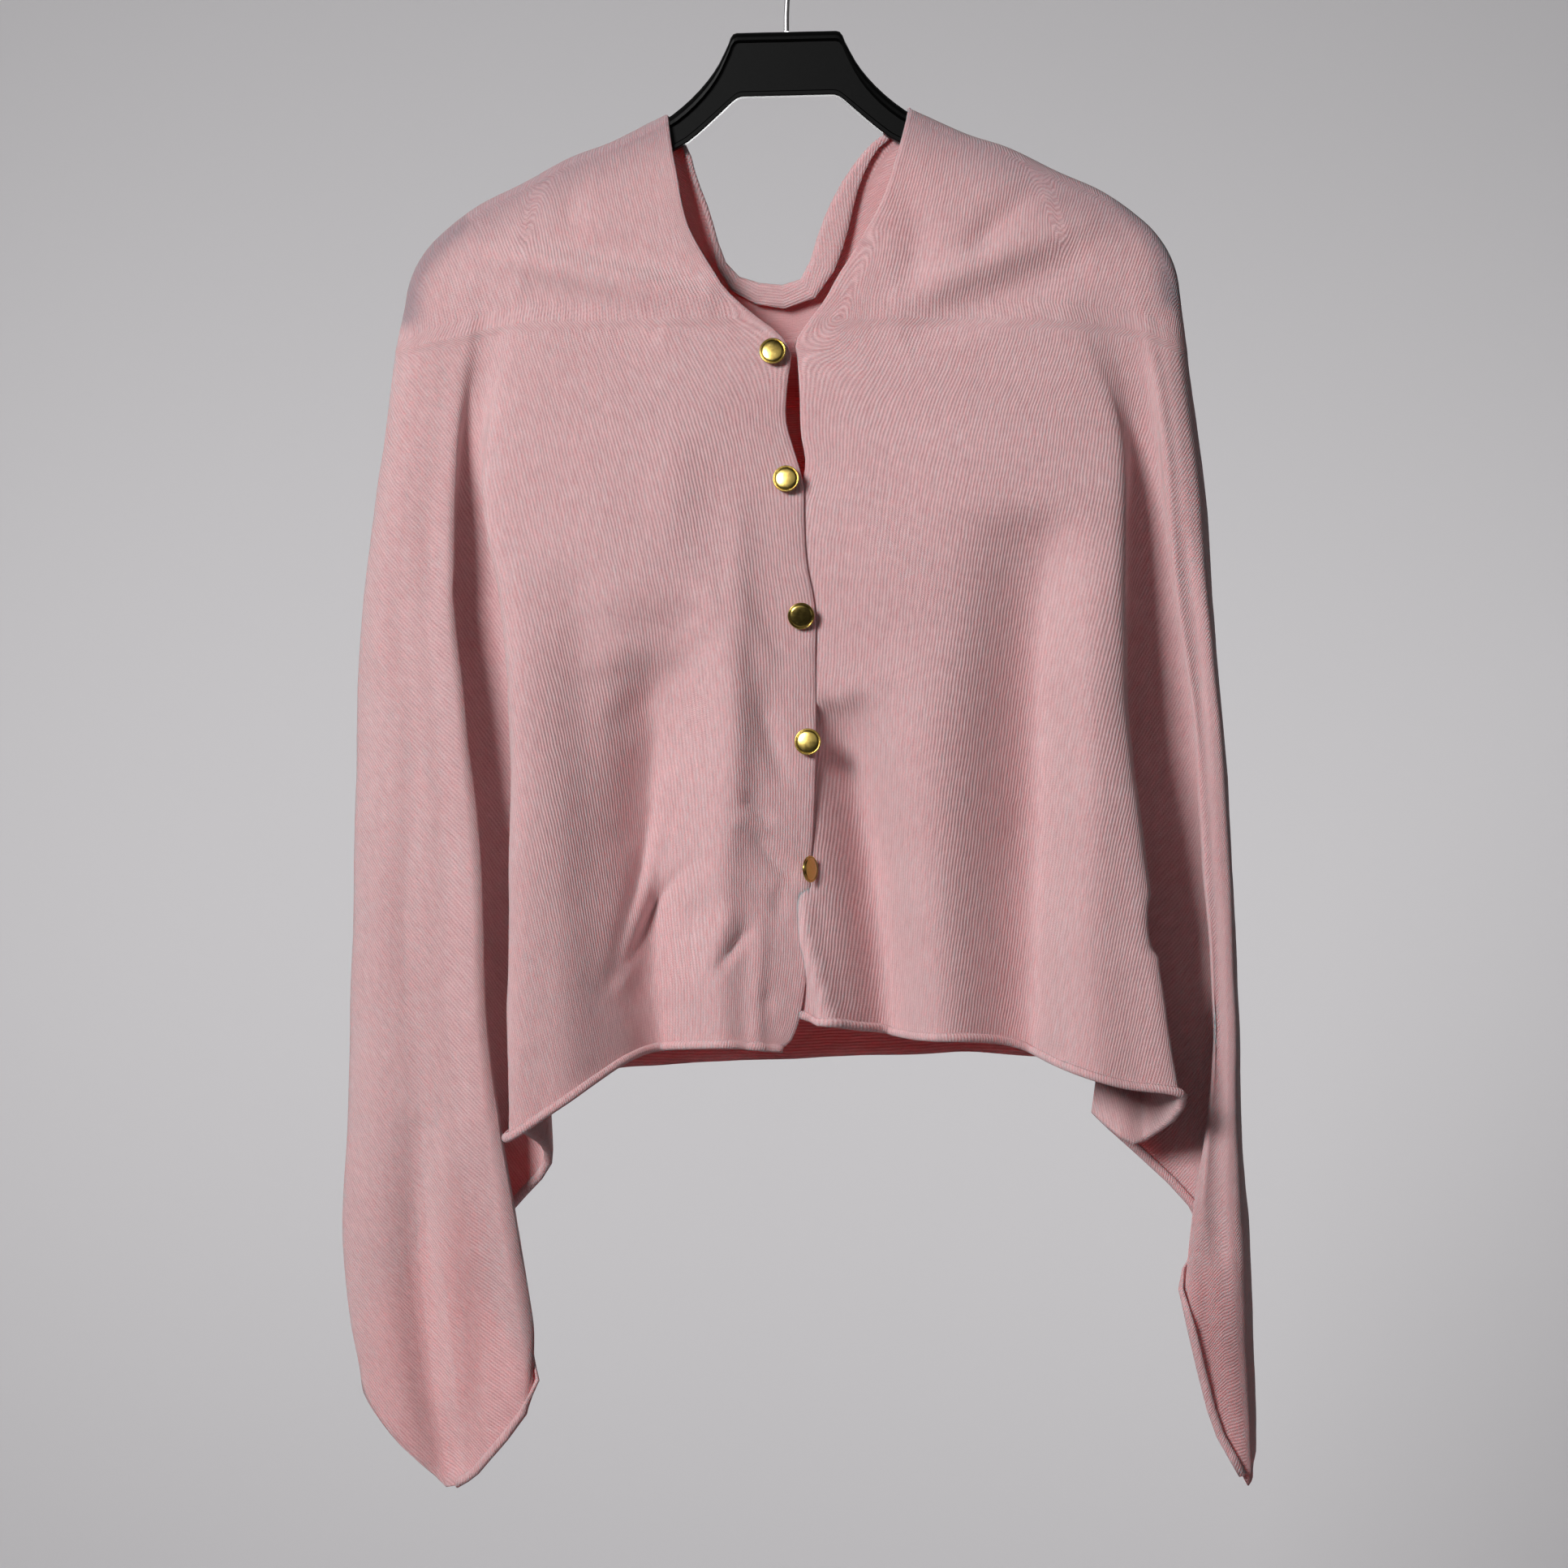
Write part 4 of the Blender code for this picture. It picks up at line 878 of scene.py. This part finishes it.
def read_between(values, old_columns, old_rows, new_columns, new_rows):
    """Read a coarse grid of values at finer columns and rows."""
    wide = np.stack([curve(old_columns, values[:, i], new_columns) for i in range(values.shape[1])], axis=1)
    return np.stack([curve(old_rows, wide[j], new_rows) for j in range(len(wide))])


cloth_uv = read_between(
    laid, column_keys(coarse_across, coarse_neck), coarse_levels, column_keys(ACROSS, NECK), LEVELS
)

# %% [markdown]
# ## Creases
# Pressed lines, crumples and soft hollows are laid on one by one. Each stroke is a path in the picture's
# plane, with half its width and its depth: plus is a hollow, minus a ridge. Two half widths stand for
# the left and the right of a stroke that is steeper on one side. A stroke moves only the layer that
# it names, so that the pleat behind the front panel stays as it is.

# %% Creases on the fronts
# Layers, in folds counted from the front edge of their own side
PANEL = (0.0, 4.2)
PANEL_AND_RIDGE = (0.0, 4.6)
WING = (7.2, 13.0)
SHOULDER = (0.0, 12.0)
BACK_FROM = 12.6
LEFT_CREASES = (
    # layer, half width, depth, path of (x, z)
    (PANEL, (26, 16), 23, ((-80, -430), (-72, -480), (-75, -530), (-66, -575), (-69, -615), (-61, -662))),
    (PANEL, (40, 26), 12, ((-66, -400), (-62, -500), (-57, -580), (-54, -662))),
    (PANEL, 16, 6, ((-118, -380), (-114, -450), (-110, -520), (-106, -580), (-101, -660))),
    (PANEL, 14, -7, ((-40, -385), (-34, -470), (-40, -560), (-43, -655))),
    (PANEL, 7, -1.4, ((-29, -325), (-27.5, -420), (-27, -512), (-26, -540))),
    (PANEL, 12, 1.2, ((-12, -340), (-11, -420), (-8, -500))),
    (PANEL, 4, -2.2, ((-15, -575), (-16, -600), (-17.5, -650))),
    (PANEL, 3, 1.2, ((-41, -392), (-34, -394))),
    (PANEL, 5, -1.8, ((-29, -398), (-13, -427), (-8.6, -441))),
    (PANEL, 5, 2.8, ((-15.4, -455), (-5, -488), (1.3, -503))),
    (PANEL, 7, -1.3, ((-34, -396), (-56, -425), (-81, -445), (-101, -457), (-107, -472))),
    (PANEL, 8, 1.4, ((-40, -415), (-62, -438), (-84, -457), (-98, -474))),
    (PANEL, 3.2, 2.6, ((-25, -510), (-19, -514), (-9, -524))),
    (PANEL, 4, -1.8, ((-34, -526), (-20, -520), (-10, -532))),
    (PANEL, 3.2, 3.4, ((-18, -529), (-11, -540), (-3, -548), (5, -556))),
    (PANEL, 4, 3.4, ((-72, -510), (-82, -550), (-88.5, -574), (-94, -596), (-99, -618))),
    (PANEL, 5, -3.4, ((-62, -490), (-72, -524), (-78, -552), (-84, -574), (-90, -598), (-94, -622))),
    (PANEL, 3.6, 4.2, ((-47, -540), (-63, -556), (-73, -570), (-85, -592), (-94, -612))),
    (PANEL, 6, -2.4, ((-40, -548), (-55, -566), (-66, -588), (-72, -606))),
    (PANEL, 8, -3.0, ((-60, -590), (-56, -620), (-55, -655))),
    (PANEL, 3.6, 3.6, ((-55, -568), (-50.7, -592), (-52, -610))),
    (PANEL, 3.2, 3.4, ((-21, -581), (-30, -594), (-39, -606))),
    (PANEL, 6, -2.2, ((-30, -570), (-42, -590), (-46, -610))),
    (PANEL, 4, 1.8, ((-4, -558), (-4, -578))),
    (PANEL, 4, 1.8, ((-14, -618), (-8, -628))),
    (PANEL, 14, -2.0, ((-62, -300), (-66, -380))),
    (WING, 5, 1.4, ((-222, -372), (-217, -428), (-210.5, -469), (-210, -518), (-215, -575),
                    (-214, -605), (-208, -657), (-206, -700))),
    (WING, 9, 6.5, ((-207, -690), (-209, -740), (-206, -790), (-202, -835), (-197, -868), (-192, -888))),
    (WING, 6, -3.0, ((-190, -690), (-191, -750), (-188, -810), (-186, -850))),
    (WING, 7, 2.6, ((-168, -690), (-167, -760), (-165, -835))),
    (WING, 5, 2.2, ((-208, -348), (-201, -370), (-195, -386), (-190, -402))),
    (SHOULDER, 8, -5.0, ((-196, -196), (-140, -208), (-90, -217), (-38, -232))),
    (SHOULDER, 8, 4.4, ((-150, -190), (-110, -200), (-76, -208), (-46, -219))),
    (SHOULDER, 11, 3.6, ((-150, -222), (-110, -236), (-70, -248))),
    (SHOULDER, 7, 3.2, ((-118, -156), (-124, -172), (-120, -192))),
)
RIGHT_CREASES = (
    (PANEL, (14, 24), 29, ((26, -455), (35, -508), (41, -548), (46, -588), (50, -629), (51, -650))),
    (PANEL, (32, 16), 29, ((144, -350), (139, -440), (138, -520), (133, -590), (131, -665))),
    (PANEL, 16, -4, ((163, -390), (167, -480), (170, -560), (172, -670))),
    (PANEL, 26, -3.6, ((84, -420), (80, -540), (76, -655))),
    (PANEL, 4.5, -7, ((9, -560), (12, -586), (18, -608), (26, -640))),
    (PANEL, 4, 1.8, ((127, -521), (132, -534))),
    (PANEL_AND_RIDGE, 6, 3.0, ((205, -565), (206, -597))),
    (SHOULDER, 7, 4.8, ((148, -158), (117, -186), (102, -204))),
    (SHOULDER, 8, -5.0, ((176, -182), (110, -209), (58, -230))),
    (SHOULDER, 11, 4.0, ((170, -206), (112, -230), (66, -250))),
    (SHOULDER, 9, 3.0, ((60, -150), (74, -190), (70, -230))),
    (WING, 3.5, 2.0, ((222, -356), (228, -400), (231, -432), (236, -498))),
    (WING, 7, 2.0, ((240, -560), (242, -660), (244, -760))),
)
# The flute under the right front's hem is a deep fold, pressed straight back
FLUTE = (((4.35, 6.0), 8, 17, ((202, -610), (203, -650), (203, -690), (206, -735))),)

# %% [markdown]
# The back isn't in the picture. The cloth below its drooping neck edge is slack there, so it hangs in
# a few U-shaped swags, and soft folds fan down from the arms' tips as they do in front.

# %% Creases on the back
BACK_CREASES = (
    # half width, depth, path of (x, z)
    (11, 5.0, ((-62, -205), (-40, -246), (-12, -262), (18, -261), (46, -243), (66, -203))),
    (11, -3.6, ((-70, -222), (-44, -268), (-12, -284), (20, -283), (50, -264), (74, -219))),
    (13, 4.4, ((-84, -238), (-50, -294), (-12, -312), (22, -310), (58, -288), (86, -234))),
    (14, -3.0, ((-95, -255), (-56, -320), (-12, -342), (24, -340), (64, -314), (98, -250))),
    (15, 2.6, ((-108, -280), (-64, -352), (-14, -378), (26, -374), (72, -346), (110, -276))),
    (10, -2.6, ((-190, -215), (-150, -258), (-116, -330), (-104, -400))),
    (10, 2.6, ((-170, -215), (-134, -268), (-100, -345), (-88, -430))),
    (10, -2.6, ((192, -212), (152, -256), (120, -326), (106, -396))),
    (10, 2.6, ((172, -212), (136, -266), (104, -342), (90, -428))),
    (9, 2.2, ((-36, -450), (-40, -540), (-36, -655))),
    (12, -2.6, ((-8, -420), (-10, -520), (-6, -655))),
    (9, 2.4, ((34, -470), (30, -560), (34, -652))),
    (12, -2.4, ((104, -470), (108, -560), (104, -650))),
    (12, -2.4, ((-108, -480), (-112, -570), (-108, -668))),
)
CREASE_DEPTH = 1.35  # all creases are this much deeper than their own numbers
HEM_REACHED = -630  # a stroke that ends below this height keeps its depth to the hem


def press(points, directions, inside, half_width, depth, path):
    """Move points by one stroke; its depth fades to nothing at both ends and at its sides."""
    left_width, right_width = half_width if isinstance(half_width, tuple) else (half_width,) * 2
    path = np.array(path, float)
    at = points[..., (0, 2)]
    lengths = distance_along(path)
    nearest = np.full(at.shape[:2], 1e9)
    run = np.zeros(at.shape[:2])
    width = np.full(at.shape[:2], float(left_width))
    for i in range(len(path) - 1):
        leg = path[i + 1] - path[i]
        share = np.clip(((at - path[i]) @ leg) / (leg @ leg), 0, 1)
        gap = np.linalg.norm(at - path[i] - share[..., None] * leg, axis=2)
        closer = gap < nearest
        nearest = np.where(closer, gap, nearest)
        rightwards = leg[0] * (at - path[i])[..., 1] - leg[1] * (at - path[i])[..., 0] > 0
        width = np.where(closer, np.where(rightwards, right_width, left_width), width)
        run = np.where(closer, lengths[i] + share * (lengths[i + 1] - lengths[i]), run)
    ends = np.sin(np.clip(run / lengths[-1], 0, 1) * math.pi)
    ends = np.where((run > lengths[-1] / 2) & (path[-1][1] < HEM_REACHED), 1.0, ends)
    profile = np.exp(-((nearest / width) ** 2)) * np.sqrt(np.clip(ends, 0, 1))
    return points - directions * (CREASE_DEPTH * depth * profile * inside)[..., None]


def layer_mask(low, high):
    """Columns of one layer, with soft borders, counted in folds from an edge of the sheet."""
    return np.clip((numbers - low + 0.25) / 0.25, 0, 1) * np.clip((high + 0.25 - numbers) / 0.25, 0, 1)


# %% Press the creases into the sheet
last_fold = numbers[-1]
outward = grid_normals(grid)
over_arm = np.clip((LEVELS - 1) / 0.5, 0, 1)
forward = np.broadcast_to(np.array([0.0, -1.0, 0.0]), grid.shape)
back_layer = (BACK_FROM, last_fold - BACK_FROM)
for creases, on_right, directions in (
    (LEFT_CREASES, False, outward),
    (RIGHT_CREASES, True, outward),
    (FLUTE, True, forward),
    ([(back_layer, *crease) for crease in BACK_CREASES], False, outward),
):
    for (low, high), half_width, depth, path in creases:
        layer = (last_fold - high, last_fold - low) if on_right else (low, high)
        grid = press(grid, directions, layer_mask(*layer)[:, None] * over_arm, half_width, depth, path)

# the hand of the cloth: faint waves that no ironing takes out, with finer ones on them
WAVE, WAVE_HEIGHT = 46.0, 0.9
for j in range(columns):
    for i in range(rows):
        soft = min(1.0, max(0.0, LEVELS[i] - 0.8))
        if soft:
            p = Vector((cloth_uv[j, i, 0] / WAVE, cloth_uv[j, i, 1] / WAVE, 0.3))
            lift = WAVE_HEIGHT * noise.noise(p) + 0.35 * WAVE_HEIGHT * noise.noise(p * 2.7)
            grid[j, i] += outward[j, i] * (lift * soft)

# %% [markdown]
# ## The sheet itself
# The grid becomes one mesh. Past its borders, the hem of each front rolls outwards, the front edges
# curl in a little, and the back neck's edge is turned in. Solidify gives it the wall of the real
# knit, and the mesh that comes out is kept.


# %% Rows past the borders
def square_to(border, directions):
    """Directions turned square to a border."""
    along = unit(np.gradient(border, axis=0))
    return unit(directions - along * (directions * along).sum(axis=1, keepdims=True))


def off_the_edge(border, away, outwards):
    """Directions square to a border: away from the cloth, and out from its face."""
    away = square_to(border, away)
    face = unit(np.cross(np.gradient(border, axis=0), away))
    return away, face * np.sign((face * outwards).sum(axis=1, keepdims=True))


def curl(start, away, towards, radius, degrees, steps):
    """Rows of points that carry a border on round a curl; the radius may change along it."""
    radius = np.reshape(radius, (-1, 1))
    angles = np.radians(degrees) * np.arange(1, steps + 1) / steps
    return [start + away * (radius * math.sin(a)) + towards * (radius * (1 - math.cos(a))) for a in angles]


# %% Roll the hems, curl the front edges and turn in the neck
ROLL_STEPS = 8
RIM_STEPS = 4
LIP_STEPS = 6
smooth_normals = grid_normals(grid)
strips = []  # for each: the grid places of its border, those next to them, rows of new points
left_hem = numbers <= HEM_CORNER_FOLD + 0.01
right_hem = numbers >= last_fold - HEM_CORNER_FOLD - 0.01
for reach in (left_hem, right_hem):
    picked = np.flatnonzero(reach)
    away, out = off_the_edge(grid[:, -1], grid[:, -1] - grid[:, -2], smooth_normals[:, -1])
    turned = curl(grid[picked, -1], away[picked], out[picked], ROLL_RADIUS, ROLL_TURN, ROLL_STEPS)
    strips.append(([(j, rows - 1) for j in picked], [(j, rows - 2) for j in picked], turned))
for j, beside in ((0, 1), (columns - 1, columns - 2)):
    away, out = off_the_edge(grid[j], grid[j] - grid[beside], smooth_normals[j])
    turned = curl(grid[j], away, -out, RIM_RADIUS, RIM_TURN, RIM_STEPS)
    strips.append(([(j, i) for i in range(rows)], [(beside, i) for i in range(rows)], turned))
edge = 2 * steps + np.arange(len(NECK))
inwards = (np.array(NECK_CENTRE) - grid[edge, 0]) * (1, 0, 1)
away, out = off_the_edge(grid[edge, 0], inwards, np.array([0.0, 1.0, 0.0]))
lip = np.array(LIP_ROWS, float)
width, radius = curve(lip[:, 0], lip[:, 1:], NECK).T
turned = curl(grid[edge, 0], away, -out, radius, LIP_TURN, LIP_STEPS)
heading = away * math.cos(math.radians(LIP_TURN)) - out * math.sin(math.radians(LIP_TURN))
for share in (0.33, 0.66, 1.0):
    turned.append(turned[LIP_STEPS - 1] + heading * width[:, None] * share)
strips.append(([(j, 0) for j in edge], [(j, 1) for j in edge], turned))

# %% Build the sheet
cloth = bmesh.new()
uv_layer = cloth.loops.layers.uv.new("cloth")
verts = {}
for j in range(columns):
    for i in range(rows):
        if int(ids[j, i]) == j * rows + i:
            verts[j * rows + i] = cloth.verts.new(grid[j, i] * MM)


def quad(corners):
    """A smooth face over four corners, each a vertex with its place on the flat cloth."""
    face = cloth.faces.new([vert for vert, flat in corners])
    face.smooth = True
    for loop, (vert, flat) in zip(face.loops, corners):
        loop[uv_layer].uv = flat * MM


def corner(j, i):
    return verts[int(ids[j, i])], cloth_uv[j, i]


for j in range(columns - 1):
    for i in range(rows - 1):
        quad((corner(j, i), corner(j, i + 1), corner(j + 1, i + 1), corner(j + 1, i)))
for border, beside, extra in strips:
    flat = np.array([cloth_uv[place] for place in border])
    onward = unit(flat - np.array([cloth_uv[place] for place in beside]))
    before = np.array([grid[place] for place in border])
    lines = [[corner(*place) for place in border]]
    for points in extra:
        flat = flat + onward * np.linalg.norm(points - before, axis=1)[:, None]
        before = points
        lines.append([(cloth.verts.new(p * MM), f) for p, f in zip(points, flat)])
    along_neck = border[0][1] == 0 and border[1][1] == 0
    flip = along_neck or border[0][0] == columns - 1 and border[1][0] == columns - 1
    for upper, lower in zip(lines[:-1], lines[1:]):
        for k in range(len(border) - 1):
            face = (upper[k], lower[k], lower[k + 1], upper[k + 1])
            quad(face[::-1] if flip else face)
mesh = mesh_from(cloth, "cloth_sheet", knit)
sheet = add_object("cloth_sheet", mesh)
print("sheet before its wall:", len(mesh.vertices), "points")

# %% [markdown]
# The knit is thin enough that the black hanger greys it where its tips stretch it. Along the arms
# the grey is also painted shade, which darkens the tops of the shoulders. An attribute holds how much.

# %% Where the hanger shows through
NEAR_ARM = 18  # farther in front of the arms or behind them, nothing greys
SEE_THROUGH_AND_SHADE_PATHS = (
    # most, radius, path of (x, z) over the arms
    (0.75, 9, ((-184, -184), (-203, -200), (-213, -216), (-215, -236))),
    (0.75, 9, ((188, -172), (206, -187), (216, -204), (218, -226))),
    # these two along the arms are painted shade on the shoulder tops, as well as the hanger showing through
    (0.55, 20, ((-70, -121), (-100, -134), (-150, -158), (-186, -178))),
    (0.55, 20, ((70, -119), (100, -131), (150, -153), (190, -172))),
)


def distance_to(path, at):
    """How far places in the picture's plane are from a path."""
    path = np.array(path, float)
    nearest = np.full(len(at), 1e9)
    for a, b in zip(path[:-1], path[1:]):
        share = np.clip(((at - a) @ (b - a)) / ((b - a) @ (b - a)), 0, 1)
        nearest = np.minimum(nearest, np.linalg.norm(at - a - share[:, None] * (b - a), axis=1))
    return nearest


places = np.empty(len(mesh.vertices) * 3)
mesh.vertices.foreach_get("co", places)
places = places.reshape(-1, 3) / MM
greyed = np.zeros(len(places))
for most, spread, path in SEE_THROUGH_AND_SHADE_PATHS:
    near = most * np.exp(-((distance_to(path, places[:, (0, 2)]) / spread) ** 2))
    greyed = np.maximum(greyed, near * (np.abs(places[:, 1]) < NEAR_ARM))
mesh.attributes.new("see_through_and_shade", "FLOAT", "POINT").data.foreach_set("value", greyed)

# %% Give it a wall
wall = sheet.modifiers.new("knit wall", "SOLIDIFY")
wall.thickness = WALL * MM
wall.offset = 0


def bake_modifiers(obj):
    """Swap an object's mesh for the one that its modifiers make."""
    graph = bpy.context.evaluated_depsgraph_get()
    baked = bpy.data.meshes.new_from_object(obj.evaluated_get(graph))
    obj.modifiers.clear()
    obj.data = baked


bake_modifiers(sheet)
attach(sheet, "root")
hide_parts("front_left", "front_right", "back")
print("sheet with its wall:", len(sheet.data.polygons), "faces")

# %% [markdown]
# ## Buttons
# Each button is turned again as a brass cap: a shallow dome in a thin rim, with a dark groove
# between them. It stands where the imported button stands, leaning the way the photo shows, so
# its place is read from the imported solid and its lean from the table.

# %% Turn the buttons
BUTTON_STEPS = 72
BUTTON_PROFILE = (
    # radius, distance from the shank's foot
    (0.0, 0.0), (1.9, 0.0), (1.9, 2.5), (2.4, 2.62), (4.5, 2.9), (6.9, 3.45), (7.35, 3.75),
    (7.5, 4.1), (7.46, 4.42), (7.25, 4.68), (6.95, 4.76), (6.72, 4.66), (6.62, 4.45), (6.5, 4.4),
    (6.42, 4.55), (6.2, 4.78), (5.7, 4.98), (4.9, 5.14), (3.9, 5.27), (2.7, 5.37), (1.4, 5.43),
    (0.0, 5.45),
)
DISC_HEIGHT = 4.1  # from the shank's foot to the middle of the disc
BUTTON_LEANS = (
    # degrees to the right and upwards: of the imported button, then of the turned one
    (14, 10, -6, 9),
    (-8, 6, -8, 6),
    (0, -3, 2, -8),
    (-10, 4, -8, 4),
    (38, 2, 57, 2),
)


def button_axis(lean_right, lean_up):
    """The way a button faces."""
    right, up = math.radians(lean_right), math.radians(lean_up)
    return Vector((math.sin(right) * math.cos(up), -math.cos(right) * math.cos(up), math.sin(up)))


def turn_round(profile, steps, foot, axis, material):
    """A mesh turned round an axis from a profile of (radius, distance along the axis)."""
    made = bmesh.new()
    turn = axis.to_track_quat("Z", "Y").to_matrix()
    rings = []
    for radius, along in profile:
        ring = []
        for k in range(steps if radius else 1):
            angle = math.tau * k / steps
            local = Vector((radius * math.cos(angle), radius * math.sin(angle), along))
            ring.append(made.verts.new((foot + turn @ local) * MM))
        rings.append(ring)
    for lower, upper in zip(rings[:-1], rings[1:]):
        for k in range(steps):
            a, b = lower[k % len(lower)], lower[(k + 1) % len(lower)]
            c, d = upper[(k + 1) % len(upper)], upper[k % len(upper)]
            face = made.faces.new(dict.fromkeys((a, b, c, d)))
            face.smooth = True
    return mesh_from(made, "turned", material)


for number, leans in enumerate(BUTTON_LEANS, 1):
    packed = nodes[f"button_{number}"]
    places = [packed.matrix_world @ v.co / MM for v in packed.data.vertices]
    middle = sum(places, Vector()) / len(places)
    packed_axis, axis = button_axis(*leans[:2]), button_axis(*leans[2:])
    low = min((p - middle).dot(packed_axis) for p in places)
    foot = middle + packed_axis * (low + DISC_HEIGHT) - axis * DISC_HEIGHT
    mesh = turn_round(BUTTON_PROFILE, BUTTON_STEPS, foot, axis, brass)
    button = add_object(f"turned_button_{number}", mesh)
    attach(button, "root")
    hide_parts(f"button_{number}")
print("turned", len(BUTTON_LEANS), "buttons")

# %% Dress the hanger
for name, material in (("hanger_body", plastic), ("hanger_hook", steel)):
    nodes[name].data.materials.clear()
    nodes[name].data.materials.append(material)
